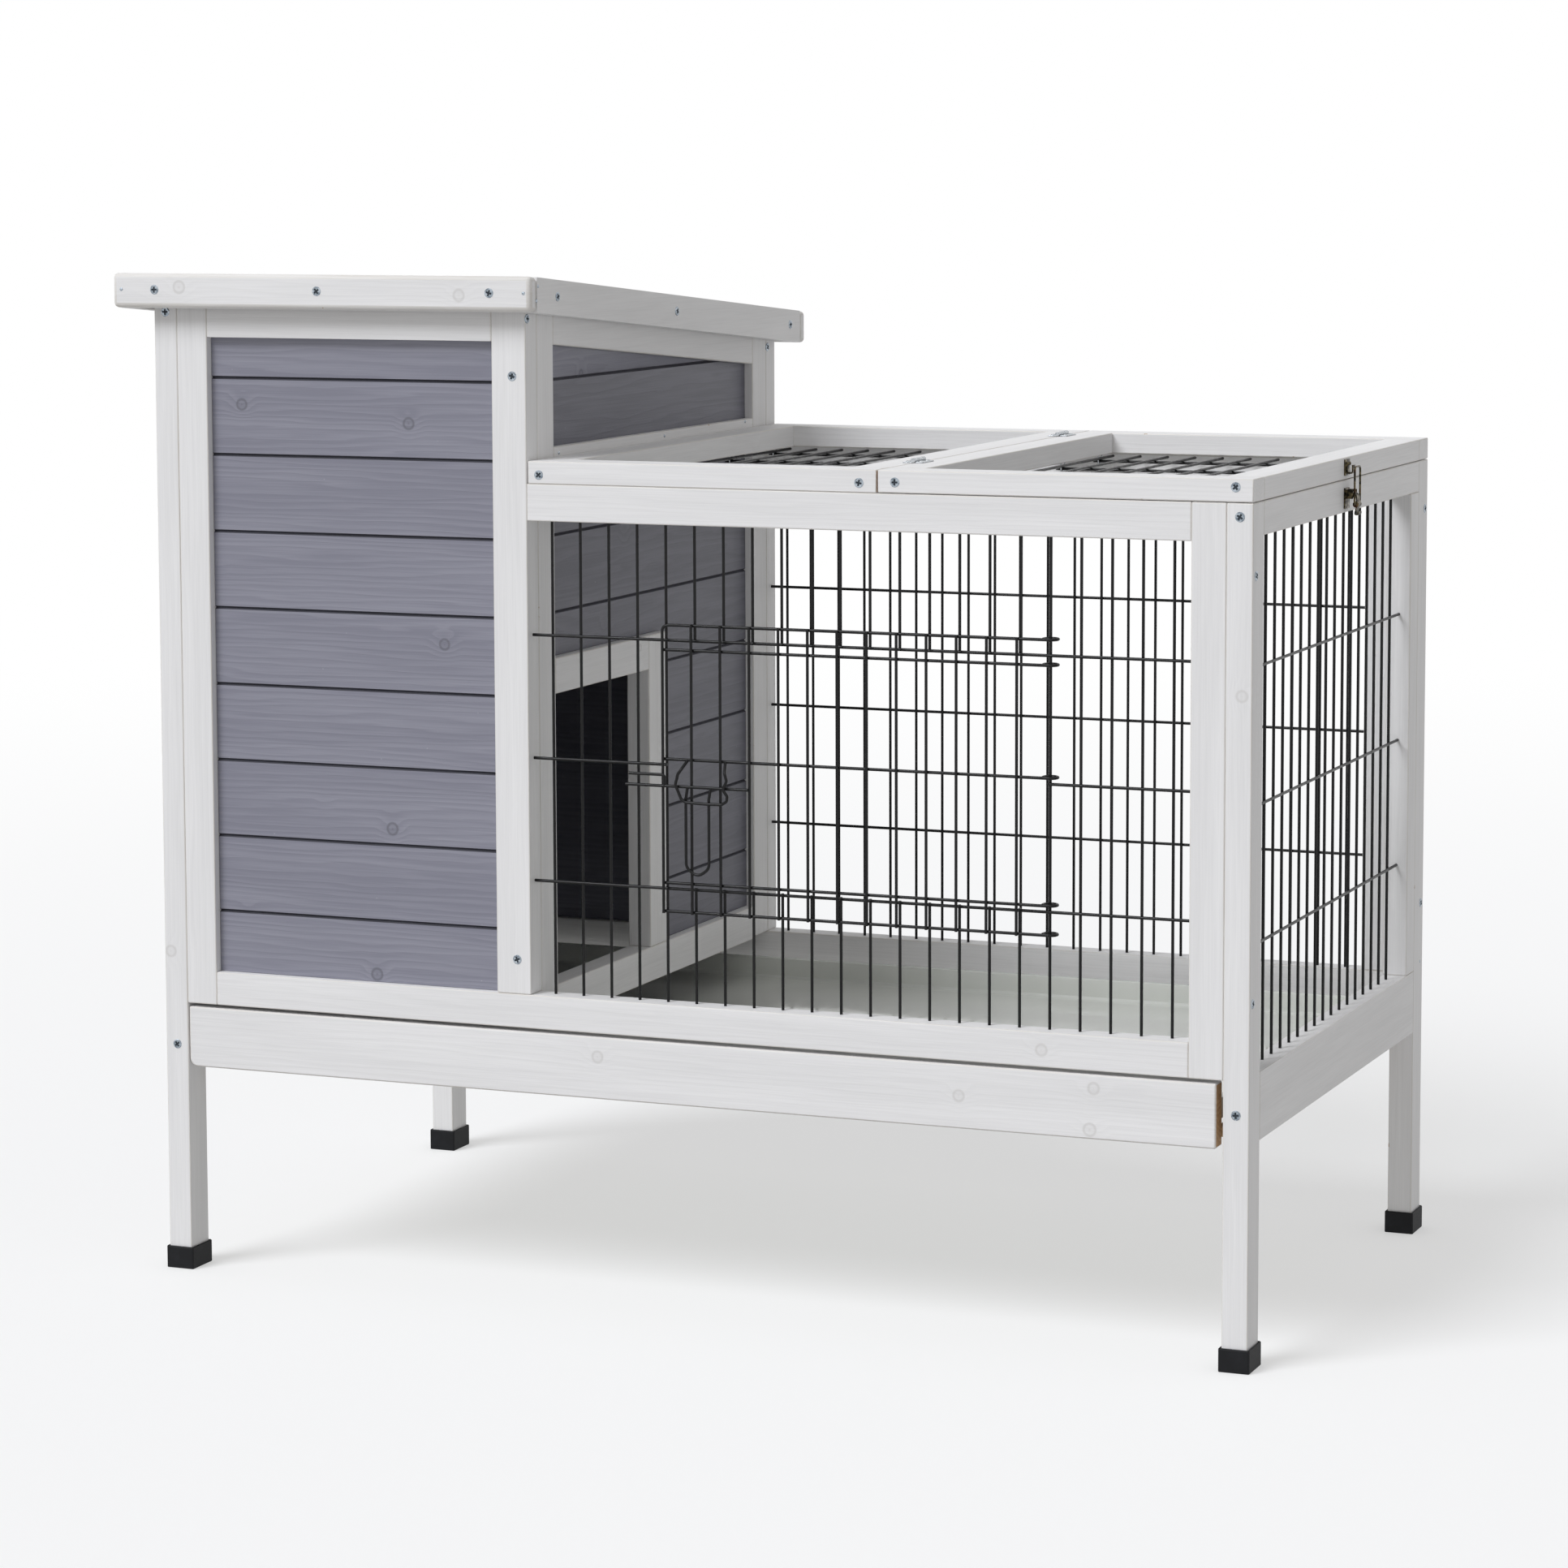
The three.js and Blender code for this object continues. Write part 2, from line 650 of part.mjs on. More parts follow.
function lidPieces() {
  lid.position.set(lidPin[0], 0, lidPin[1]);
  const spanX = [lidLeft - lidPin[0], bodyWidth - lidPin[0]];
  const under = lidLow - lidPin[1];
  const top = topSurface - lidPin[1];
  add("lid_frame", topFrame(spanX, [under, top]), whiteStain, lid);
  const meshX = [spanX[0] + topMeshInset, rightPost - topMeshInset - lidPin[0]];
  add("lid_wire", topMesh(meshX, under), blackWire, lid);

  const catchLow = under + catchRise;
  const right = spanX[1];
  const plateHalf = latchWide / 2;
  const across = [latchMiddle - plateHalf, latchMiddle + plateHalf];
  const hookY = [latchMiddle - hookWide / 2, latchMiddle + hookWide / 2];
  const shelf = [catchLow + latchPlate, catchLow + 2 * latchPlate];
  const strike = join(
    block([right, right + latchPlate], across, [catchLow, catchLow + catchHigh]),
    block([right, right + hookOut], hookY, shelf),
    block([right + hookOut - latchPlate, right + hookOut], hookY, [shelf[0], catchLow + hookHigh]),
  );
  add("lid_catch", strike, agedBrass, lid);

  const size = { long: lidHingeLong, reach: lidHingeReach, radius: lidKnuckleRadius, pin: lidPinRadius };
  for (const [place, y] of [["front", frontHingeAt], ["back", bodyDepth - backHingeAt]]) {
    const moving = add(place + "_hinge_lid_leaf", hingeLeaf({ ...size, fixed: false }), agedBrass, lid);
    moving.position.y = y;
    const still = add(place + "_hinge_fixed_leaf", hingeLeaf({ ...size, fixed: true }), agedBrass);
    still.position.set(lidPin[0], y, lidPin[1]);
    still.rotation.z = Math.PI;
  }
}

// ---- Toggle latch -------------------------------------------------------------------------

const latchMesh = (name, geometry) => add(name, geometry, agedBrass);

function latch() {
  const face = bodyWidth;
  const across = [latchMiddle - latchWide / 2, latchMiddle + latchWide / 2];
  const baseTop = runTop - latchBaseDrop;
  const base = [baseTop - latchBaseHigh, baseTop];
  const pinAt = [face + leverPinOut, runTop - leverPinDrop];
  const earIn = latchWide / 2 - 1.5 * latchPlate;
  const earZ = [pinAt[1] - leverBarrelRadius, pinAt[1] + leverBarrelRadius];
  const ear = (y) => block([face, pinAt[0] + leverPinRadius + latchPlay], [y, y + latchPlate], earZ);
  const earLow = latchMiddle - earIn - latchPlate;
  const plate = block([face, face + latchPlate], across, base);
  const pin = round("y", pinAt, leverPinRadius, earLow, 2 * latchMiddle - earLow, latchFacets);
  latchMesh("latch_base", join(plate, ear(earLow), ear(latchMiddle + earIn), pin));

  const loopAt = [face + loopPinOut, runTop - loopPinDrop];
  const leverY = [latchMiddle - earIn + latchPlay, latchMiddle + earIn - latchPlay];
  const strap = [loopAt[0] - latchPlate, loopAt[0] + latchPlate / 2];
  const lever = join(
    round("y", pinAt, leverBarrelRadius, ...leverY, latchFacets),
    block([pinAt[0], strap[1]], leverY, [pinAt[1] - leverBarrelRadius, pinAt[1] - latchPlate]),
    block(strap, leverY, [runTop - leverTail, pinAt[1] - latchPlate]),
    round("y", loopAt, loopBarrelRadius, ...leverY, loopEyeFacets),
  );
  const bores = [
    round("y", pinAt, leverPinRadius + latchPlay, 0, bodyDepth, latchFacets),
    round("y", loopAt, loopGauge * squareToRound + latchPlay, 0, bodyDepth, loopEyeFacets),
  ];
  latchMesh("latch_lever", cut(lever, ...bores));

  const side = latchWide / 2 + loopGauge;
  const loopY = [latchMiddle - side, latchMiddle + side];
  const half = loopGauge / 2;
  const ends = [loopAt[1] - half, loopAt[1] + loopHigh + half];
  const loop = join(
    wire("y", loopY, loopAt[0], loopAt[1], loopGauge),
    wire("y", loopY, loopAt[0], loopAt[1] + loopHigh, loopGauge),
    wire("z", ends, loopAt[0], loopY[0] + half, loopGauge),
    wire("z", ends, loopAt[0], loopY[1] - half, loopGauge),
  );
  latchMesh("latch_loop", loop);
}

// ---- Tray ---------------------------------------------------------------------------------

function trayPieces() {
  const left = postAcross + trayLeftPlay;
  const right = rightPost - trayRightPlay;
  const boardBack = trayBoardSet + trayBoardThick;
  const boardZ = [drawerRise, drawerRise + drawerHigh];
  add("tray_front_board", block([left, right], [trayBoardSet, boardBack], boardZ), whiteStain, tray);

  const low = sideBoardRise + runnerHigh + runnerPlay;
  const panX = [postAcross + panSideGap, rightPost - panSideGap - trayRightPlay];
  const panY = [boardBack, backWall - panBackGap];
  const inset = ([a, b]) => [a + panWall, b - panWall];
  const hollow = block(inset(panX), inset(panY), [low + panWall, low + panHigh + 1]);
  add("tray_pan", cut(block(panX, panY, [low, low + panHigh]), hollow), trayPlastic, tray);

  const runnerZ = [sideBoardRise, sideBoardRise + runnerHigh];
  const runnerY = [postDeep, backWall];
  add("left_tray_runner", block([postAcross, postAcross + runnerWide], runnerY, runnerZ), bareWood);
  add("right_tray_runner", block([rightPost - runnerWide, rightPost], runnerY, runnerZ), bareWood);
}

// ---- Roof ---------------------------------------------------------------------------------

// A slab that follows the roof's slope, between two depths below its upper face.
function roofSlab([x0, x1], [y0, y1], high) {
  const under = [[y0, roofTop(y0) - high], [y1, roofTop(y1) - high]];
  const over = [[y1, roofTop(y1)], [y0, roofTop(y0)]];
  return prism("x", [...under, ...over], x0, x1);
}

function roofPieces() {
  const outerX = [-roofLeft, houseWidth + roofRight];
  const outerY = [-roofFront, bodyDepth + roofBack];
  const inner = ([a, b]) => [a + fasciaThick, b - fasciaThick];
  add("roof_deck", roofSlab(inner(outerX), inner(outerY), deckThick), roofFelt, roof);
  const ring = roofSlab(outerX, outerY, fasciaHigh);
  const [y0, y1] = inner(outerY);
  const [x0, x1] = inner(outerX);
  const opening = block([x0, x1], [y0, y1], [runTop, roofTopFront + fasciaHigh]);
  add("roof_fascia", cut(ring, opening), whiteStain, roof);

  const pinY = bodyDepth + roofKnuckleRadius;
  const pinZ = deckUnder(pinY) - roofKnuckleRadius - roofPlay;
  const size = { long: roofHingeLong, reach: roofHingeReach, radius: roofKnuckleRadius, pin: roofPinRadius };
  const middle = houseWidth / 2;
  const wallLeaf = add("roof_hinge_wall_leaf", hingeLeaf({ ...size, fixed: true }), zincPlate);
  wallLeaf.position.set(middle, pinY, pinZ);
  const down = new THREE.Vector3(0, 0, -1);
  const along = new THREE.Vector3(-1, 0, 0);
  wallLeaf.quaternion.setFromRotationMatrix(
    new THREE.Matrix4().makeBasis(down, along, new THREE.Vector3(0, 1, 0)),
  );
  const slope = Math.atan(roofDrop / roofDeep);
  const back = new THREE.Vector3(0, Math.cos(slope), -Math.sin(slope));
  const under = new THREE.Vector3(0, -Math.sin(slope), -Math.cos(slope));
  const roofLeaf = add("roof_hinge_roof_leaf", hingeLeaf({ ...size, fixed: false }), zincPlate, roof);
  roofLeaf.position.set(middle, pinY, pinZ);
  roofLeaf.quaternion.setFromRotationMatrix(
    new THREE.Matrix4().makeBasis(back, new THREE.Vector3(1, 0, 0), under),
  );
}

// ---- Assembly -----------------------------------------------------------------------------

legs();
frontWall();
leftWall();
backWallPieces();
divider();
rightWall();
frontMesh();
backMesh();
rightMesh();
doorPieces();
doorBolt();
fixedTop();
lidPieces();
latch();
trayPieces();
roofPieces();

const widest = bodyWidth + loopPinOut + loopBarrelRadius;
hutch.position.set((roofLeft - widest) / 2, (roofFront - bodyDepth - roofBack) / 2, 0);
hutch.name = "rabbit_hutch";

export default hutch;
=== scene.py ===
import math

import bmesh
import bpy
from mathutils import Matrix, Vector


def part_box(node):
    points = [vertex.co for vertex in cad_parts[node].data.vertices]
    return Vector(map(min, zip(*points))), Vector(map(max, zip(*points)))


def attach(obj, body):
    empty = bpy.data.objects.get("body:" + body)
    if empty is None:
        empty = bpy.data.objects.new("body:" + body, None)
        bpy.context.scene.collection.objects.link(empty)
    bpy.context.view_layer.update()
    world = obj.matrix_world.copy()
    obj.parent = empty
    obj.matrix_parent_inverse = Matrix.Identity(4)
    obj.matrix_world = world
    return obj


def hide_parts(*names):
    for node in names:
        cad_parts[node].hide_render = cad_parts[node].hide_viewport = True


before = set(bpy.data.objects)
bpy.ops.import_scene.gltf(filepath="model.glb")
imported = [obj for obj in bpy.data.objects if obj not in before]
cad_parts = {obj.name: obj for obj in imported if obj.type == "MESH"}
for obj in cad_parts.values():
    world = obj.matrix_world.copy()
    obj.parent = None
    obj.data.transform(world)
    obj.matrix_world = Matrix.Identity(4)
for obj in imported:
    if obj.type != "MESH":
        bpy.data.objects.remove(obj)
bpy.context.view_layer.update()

# Everything below is worked out in millimetres, in the frame's own axes, and scaled once.
mm = 0.001
scene = bpy.context.scene
leftOver = set(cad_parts)  # nodes that have no finish yet


def box(name):
    low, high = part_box(name)
    return low / mm, high / mm


def middle(name):
    low, high = box(name)
    return (low + high) / 2


# A point on one side of a node: along it from the node's middle, and up from its lower end, or
# down from its upper end where the number is negative. The second result points out of the wood.
def onSide(node, side, along, up):
    low, high = box(node)
    depth = "xyz".index(side[1])
    outward = Vector((0, 0, 0))
    outward[depth] = 1 if side[0] == "+" else -1
    point = (low + high) / 2
    point[depth] = high[depth] if side[0] == "+" else low[depth]
    point[1 - depth] += along
    point.z = (high.z if up < 0 else low.z) + up
    return point, outward


def colour(hexCode):
    values = []
    for start in (0, 2, 4):
        part = int(hexCode[start:start + 2], 16) / 255
        values.append(part / 12.92 if part <= 0.04045 else ((part + 0.055) / 1.055) ** 2.4)
    return (*values, 1.0)


def addNode(tree, kind, settings=None, inputs=None):
    made = tree.nodes.new("ShaderNode" + kind)
    for name, value in (settings or {}).items():
        setattr(made, name, value)
    for socket, value in (inputs or {}).items():
        if isinstance(value, bpy.types.NodeSocket):
            tree.links.new(value, made.inputs[socket])
        else:
            made.inputs[socket].default_value = value
    return made


def newMaterial(name, **surface):
    material = bpy.data.materials.new(name)
    material.use_nodes = True
    tree = material.node_tree
    shader = tree.nodes["Principled BSDF"]
    for socket, value in surface.items():
        shader.inputs[socket.replace("_", " ")].default_value = value
    return material, tree, shader


# Coordinates in millimetres that stay with the piece, shifted by a different amount on each one.
def pieceCoordinates(tree):
    place = addNode(tree, "TexCoord").outputs["Object"]
    piece = addNode(tree, "ObjectInfo").outputs["Random"]
    scaled = addNode(tree, "VectorMath", {"operation": "SCALE"}, {0: place, "Scale": 1 / mm}).outputs[0]
    shift = addNode(tree, "VectorMath", {"operation": "SCALE"}, {0: (731.0, 1213.0, 917.0), "Scale": piece})
    return addNode(tree, "VectorMath", {"operation": "ADD"}, {0: scaled, 1: shift.outputs[0]}).outputs[0]


def stretched(tree, place, along, across, axis):
    scale = [1 / across] * 3
    scale["xyz".index(axis)] = 1 / along
    return addNode(tree, "VectorMath", {"operation": "MULTIPLY"}, {0: place, 1: scale}).outputs[0]


def band(tree, value, low, high, outLow=0.0, outHigh=1.0):
    made = addNode(tree, "MapRange", {"interpolation_type": "SMOOTHSTEP"},
                   {"Value": value, "From Min": low, "From Max": high, "To Min": outLow, "To Max": outHigh})
    return made.outputs["Result"]


def mathOf(tree, operation, *values):
    return addNode(tree, "Math", {"operation": operation}, dict(enumerate(values))).outputs[0]


def mixed(tree, share, first, second):
    made = addNode(tree, "Mix", {"data_type": "RGBA"}, {0: share, 6: first, 7: second})
    return made.outputs[2]


# Planed fir under a thin stain: long fine fibres, growth lines a few millimetres apart that
# bend around the knots, and a slow drift of tone. Sizes are in millimetres.
woodGrain = {
    "fibreLong": 70, "fibreAcross": 1.1, "driftLong": 260, "driftAcross": 22,
    "lineSpacing": 5.5, "lineBend": 7, "knotSpacing": 60, "knotRadius": 4.4,
}


# Stain and grain direction, then node, side, along and up.
knotPlaces = {
    ("grey", "x"): [
        ("house_front_boards", "-y", -97, 452), ("house_front_boards", "-y", 49, 440),
        ("house_front_boards", "-y", 78, 269), ("house_front_boards", "-y", 31, 122),
        ("house_front_boards", "-y", 16, 6), ("house_back_boards", "+y", -60, 330),
        ("house_back_boards", "+y", 44, 205),
    ],
    ("grey", "y"): [("house_left_boards", "-x", -90, 390), ("house_left_boards", "-x", 70, 150)],
    ("white", "x"): [
        ("tray_front_board", "-y", -69, 33), ("tray_front_board", "-y", 330, 7),
        ("tray_front_board", "-y", 333, 38), ("tray_front_board", "-y", 227, 25),
        ("front_bottom_rail", "-y", 290, 13), ("roof_fascia", "-y", -122, -11),
        ("roof_fascia", "-y", 121, -15),
    ],
    ("white", "z"): [("front_right_post", "-y", 2.5, 496), ("front_left_post", "-y", -4.5, 254)],
}


def stainedWood(name, look, axis):
    material, tree, shader = newMaterial(name, IOR=1.5, Roughness=look["roughness"])
    grain = woodGrain
    place = pieceCoordinates(tree)

    fibres = addNode(tree, "TexNoise", {}, {
        "Vector": stretched(tree, place, grain["fibreLong"], grain["fibreAcross"], axis),
        "Scale": 1.0, "Detail": 4.0, "Roughness": 0.62, "Distortion": 0.25}).outputs[0]
    drift = addNode(tree, "TexNoise", {}, {
        "Vector": stretched(tree, place, grain["driftLong"], grain["driftAcross"], axis),
        "Scale": 1.0, "Detail": 3.0, "Roughness": 0.5}).outputs[0]

    # small knots at random, in few of the cells, and the larger ones where the list puts them
    cells = addNode(tree, "TexVoronoi", {}, {"Vector": place, "Scale": 1 / grain["knotSpacing"]})
    chance = addNode(tree, "SeparateColor", {}, {0: cells.outputs["Color"]}).outputs[0]
    clear = mathOf(tree, "GREATER_THAN", chance, look["knotShare"])
    fromKnot = mathOf(tree, "MULTIPLY", cells.outputs["Distance"], grain["knotSpacing"])
    fromKnot = mathOf(tree, "MULTIPLY_ADD", clear, 100.0, mathOf(tree, "ADD", fromKnot, 1.4))
    fixed = addNode(tree, "VectorMath", {"operation": "SCALE"}, {
        0: addNode(tree, "TexCoord").outputs["Object"], "Scale": 1 / mm}).outputs[0]
    for node, side, along, up in knotPlaces.get((look["stain"], axis), ()):
        at = onSide(node, side, along, up)[0]
        apart = addNode(tree, "VectorMath", {"operation": "DISTANCE"}, {0: fixed, 1: at}).outputs["Value"]
        fromKnot = mathOf(tree, "MINIMUM", fromKnot, apart)
    fromKnot = mathOf(tree, "MULTIPLY_ADD", drift, 3.0, mathOf(tree, "SUBTRACT", fromKnot, 1.5))
    radius = grain["knotRadius"]
    ring = mathOf(tree, "MULTIPLY", band(tree, fromKnot, radius * 0.5, radius * 0.95),
                  band(tree, fromKnot, radius, radius * 1.35, 1.0, 0.0))
    heart = band(tree, fromKnot, 0.0, radius * 0.45, 0.75, 0.0)
    disc = band(tree, fromKnot, radius * 0.9, radius * 1.2, 0.3, 0.0)
    rim = mathOf(tree, "MAXIMUM", mathOf(tree, "MAXIMUM", ring, heart), disc)
    bulge = band(tree, fromKnot, 0.0, radius * 4, radius * 1.6, 0.0)

    # growth lines run along the piece, so they are measured across it
    across = {"x": (0.0, 0.31, 0.95), "y": (0.86, 0.0, 0.5), "z": (0.93, 0.36, 0.0)}[axis]
    depth = addNode(tree, "VectorMath", {"operation": "DOT_PRODUCT"}, {0: place, 1: across}).outputs["Value"]
    bent = mathOf(tree, "MULTIPLY_ADD", drift, grain["lineBend"] * 4, mathOf(tree, "ADD", depth, bulge))
    turns = mathOf(tree, "FRACT", mathOf(tree, "DIVIDE", bent, grain["lineSpacing"]))
    lines = mathOf(tree, "MULTIPLY", band(tree, turns, 0.0, 0.86), band(tree, turns, 0.86, 1.0, 1.0, 0.0))

    tone = mathOf(tree, "MULTIPLY_ADD", band(tree, fibres, 0.3, 0.75), look["fibre"],
                  mathOf(tree, "MULTIPLY", lines, look["line"]))
    tone = mathOf(tree, "MULTIPLY_ADD", band(tree, drift, 0.3, 0.7), look["drift"], tone)
    stain = mixed(tree, tone, colour(look["light"]), colour(look["dark"]))
    stain = mixed(tree, mathOf(tree, "MULTIPLY", rim, look["knot"]), stain, colour(look["knotColour"]))
    if "specks" in look:  # pale flecks where the stain didn't take
        flecks = addNode(tree, "TexVoronoi", {}, {"Vector": place, "Scale": 1 / 17}).outputs["Distance"]
        share = band(tree, mathOf(tree, "MULTIPLY", flecks, 17.0), 0.3, 0.7, look["specks"], 0.0)
        stain = mixed(tree, share, stain, colour(look["speckColour"]))
    if "chips" in look:  # the stain is rubbed through here and there along an arris
        patches = addNode(tree, "TexNoise", {}, {"Vector": place, "Scale": 0.09, "Detail": 5.0}).outputs[0]
        share = band(tree, patches, look["chips"], look["chips"] + 0.03)
        stain = mixed(tree, share, stain, colour(look["bare"]))
    tree.links.new(stain, shader.inputs["Base Color"])

    height = mathOf(tree, "MULTIPLY_ADD", lines, -0.5, fibres)
    bump = addNode(tree, "Bump", {}, {"Strength": look["bump"], "Distance": 0.35 * mm, "Height": height})
    tree.links.new(bump.outputs[0], shader.inputs["Normal"])
    return material


# White stain is thin and matt: it hides the colour of the wood and leaves its fibres and knots.
whiteStain = {
    "stain": "white", "light": "edecec", "dark": "dcdbdb", "fibre": 0.35, "line": 0.13, "drift": 0.35,
    "knotColour": "c4c1be", "knot": 0.45, "knotShare": 0.12, "roughness": 0.58, "bump": 0.22,
}
whiteEdge = {**whiteStain, "light": "e6e4e2", "dark": "d2cdc6", "chips": 0.71, "bare": "a98a69"}
# Blue-grey stain shows more of the grain, with pale flecks.
greyStain = {
    "stain": "grey", "light": "8f8f9b", "dark": "7c7c89", "fibre": 0.4, "line": 0.45, "drift": 0.5,
    "knotColour": "62626c", "knot": 0.8, "knotShare": 0.1, "roughness": 0.5, "bump": 0.4,
    "specks": 0.35, "speckColour": "b7b7bf",
}
# The divider's boards, all but the narrow top course, are darker than those of the outer walls: painted
# shade, put into the colour of their stain.
paintedShadeGreyStain = {**greyStain, "light": "6e6e78", "dark": "5c5c66"}
# The vees are much darker: partly the dark joint between the boards, partly painted shade for the shade
# inside the groove.
grooveJointAndShadeStain = {**greyStain, "light": "44444e", "dark": "32323a", "specks": 0.0, "roughness": 0.7}
# Unpainted runners under the tray are raw planed fir.
bareFir = {
    "stain": "none", "light": "caa67a", "dark": "a67f55", "fibre": 0.5, "line": 0.5, "drift": 0.3,
    "knotColour": "6b4a2e", "knot": 0.9, "knotShare": 0.3, "roughness": 0.65, "bump": 0.5,
}
woods = {}


def wood(look, axis):
    looks = {"white": whiteStain, "edge": whiteEdge, "grey": greyStain, "shade": paintedShadeGreyStain,
             "groove": grooveJointAndShadeStain, "bare": bareFir}
    names = {"white": "whiteStainedFir", "edge": "whiteStainedFirArris", "grey": "greyStainedFir",
             "shade": "greyStainedFirPaintedShade",
             "groove": "greyStainedFirGrooveJointAndShade", "bare": "planedFir"}
    if (look, axis) not in woods:
        woods[look, axis] = stainedWood(names[look] + "Along" + axis.upper(), looks[look], axis)
    return woods[look, axis]


# Steel wire in black polyethylene paint: smooth and half glossy, so each wire has a thin highlight.
def blackPaintedWire():
    material, tree, shader = newMaterial("blackPaintedSteelWire", IOR=1.5, Specular_IOR_Level=0.25)
    place = pieceCoordinates(tree)
    runs = addNode(tree, "TexNoise", {}, {"Vector": place, "Scale": 0.12, "Detail": 3.0}).outputs[0]
    tree.links.new(mixed(tree, runs, colour("060607"), colour("121213")), shader.inputs["Base Color"])
    tree.links.new(band(tree, runs, 0.3, 0.7, 0.26, 0.42), shader.inputs["Roughness"])
    bump = addNode(tree, "Bump", {}, {"Strength": 0.25, "Distance": 0.1 * mm, "Height": runs})
    tree.links.new(bump.outputs[0], shader.inputs["Normal"])
    return material


# Moulded rubber: near black, matt, with a fine grain from the mould and dust on it.
def mouldedRubber():
    surface = {"IOR": 1.52, "Roughness": 0.6, "Specular_IOR_Level": 0.22}
    material, tree, shader = newMaterial("mouldedBlackRubber", **surface)
    place = pieceCoordinates(tree)
    skin = addNode(tree, "TexNoise", {}, {"Vector": place, "Scale": 1.4, "Detail": 4.0}).outputs[0]
    dust = addNode(tree, "TexNoise", {}, {"Vector": place, "Scale": 0.06, "Detail": 5.0}).outputs[0]
    rubber = mixed(tree, band(tree, dust, 0.45, 0.8, 0.0, 0.5), colour("0c0d10"), colour("222328"))
    tree.links.new(rubber, shader.inputs["Base Color"])
    bump = addNode(tree, "Bump", {}, {"Strength": 0.35, "Distance": 0.15 * mm, "Height": skin})
    tree.links.new(bump.outputs[0], shader.inputs["Normal"])
    return material


# Mineral felt: slate granules about 1 mm across pressed into bitumen, dark and rough.
def mineralFelt():
    material, tree, shader = newMaterial("greyMineralRoofingFelt", IOR=1.5, Roughness=0.9)
    place = pieceCoordinates(tree)
    granules = addNode(tree, "TexVoronoi", {}, {"Vector": place, "Scale": 0.8})
    patches = addNode(tree, "TexNoise", {}, {"Vector": place, "Scale": 0.02, "Detail": 4.0}).outputs[0]
    each = addNode(tree, "SeparateColor", {}, {0: granules.outputs["Color"]}).outputs[0]
    shade = mathOf(tree, "MULTIPLY_ADD", patches, 0.5, mathOf(tree, "MULTIPLY", each, 0.6))
    slate = mixed(tree, shade, colour("3d3f43"), colour("80838a"))
    tree.links.new(slate, shader.inputs["Base Color"])
    height = mathOf(tree, "SUBTRACT", 1.0, granules.outputs["Distance"])
    bump = addNode(tree, "Bump", {}, {"Strength": 0.8, "Distance": 0.5 * mm, "Height": height})
    tree.links.new(bump.outputs[0], shader.inputs["Normal"])
    return material


# Moulded polypropylene tray: grey-green, with a gloss that mirrors the wires above it.
def mouldedTray():
    material, tree, shader = newMaterial("greyGreenMouldedPolypropylene", IOR=1.49, Roughness=0.14)
    place = pieceCoordinates(tree)
    cloud = addNode(tree, "TexNoise", {}, {"Vector": place, "Scale": 0.011, "Detail": 3.0}).outputs[0]
    rub = addNode(tree, "TexNoise", {}, {
        "Vector": stretched(tree, place, 40, 3, "y"), "Scale": 1.0, "Detail": 4.0}).outputs[0]
    tree.links.new(mixed(tree, cloud, colour("dcded8"), colour("e6e8e2")), shader.inputs["Base Color"])
    tree.links.new(band(tree, rub, 0.35, 0.75, 0.06, 0.16), shader.inputs["Roughness"])
    wave = addNode(tree, "TexNoise", {}, {"Vector": place, "Scale": 0.02, "Detail": 1.0}).outputs[0]
    bump = addNode(tree, "Bump", {}, {"Strength": 0.5, "Distance": 0.6 * mm, "Height": wave})
    tree.links.new(bump.outputs[0], shader.inputs["Normal"])
    return material


# Brass plate gone brown: dull gold on the worn high spots, dark tarnish elsewhere.
def agedBrass():
    material, tree, shader = newMaterial("agedBrassPlate", Metallic=1.0, Roughness=0.36)
    place = pieceCoordinates(tree)
    tarnish = addNode(tree, "TexNoise", {}, {"Vector": place, "Scale": 0.35, "Detail": 5.0}).outputs[0]
    plate = mixed(tree, band(tree, tarnish, 0.4, 0.62), colour("1c1a16"), colour("5f5640"))
    copper = addNode(tree, "TexNoise", {}, {"Vector": place, "Scale": 0.16, "Detail": 2.0}).outputs[0]
    plate = mixed(tree, band(tree, copper, 0.56, 0.66, 0.0, 0.5), plate, colour("4a2b1e"))
    tree.links.new(plate, shader.inputs["Base Color"])
    tree.links.new(band(tree, tarnish, 0.35, 0.7, 0.5, 0.25), shader.inputs["Roughness"])
    return material


# Bright zinc over steel, as on screws: cold and slightly blue, with small dull patches.
def zincPlate(name, dark, light):
    material, tree, shader = newMaterial(name, Metallic=1.0, Roughness=0.3)
    place = pieceCoordinates(tree)
    spangle = addNode(tree, "TexVoronoi", {}, {"Vector": place, "Scale": 0.5}).outputs["Color"]
    each = addNode(tree, "SeparateColor", {}, {0: spangle}).outputs[0]
    tree.links.new(mixed(tree, each, colour(dark), colour(light)), shader.inputs["Base Color"])
    tree.links.new(band(tree, each, 0.0, 1.0, 0.24, 0.42), shader.inputs["Roughness"])
    return material


# The recess of a screw holds old paint and dirt, and its dark colour is also painted shade for a recess too
# shallow to show its own, so it reads as a dark cross.
def recessGrimeAndShade():
    material, tree, shader = newMaterial("screwRecessGrimeAndPaintedShade", Roughness=0.8, Specular_IOR_Level=0.2)
    place = pieceCoordinates(tree)
    crumbs = addNode(tree, "TexNoise", {}, {"Vector": place, "Scale": 2.5, "Detail": 3.0}).outputs[0]
    tree.links.new(mixed(tree, crumbs, colour("1c2126"), colour("4a525a")), shader.inputs["Base Color"])
    return material


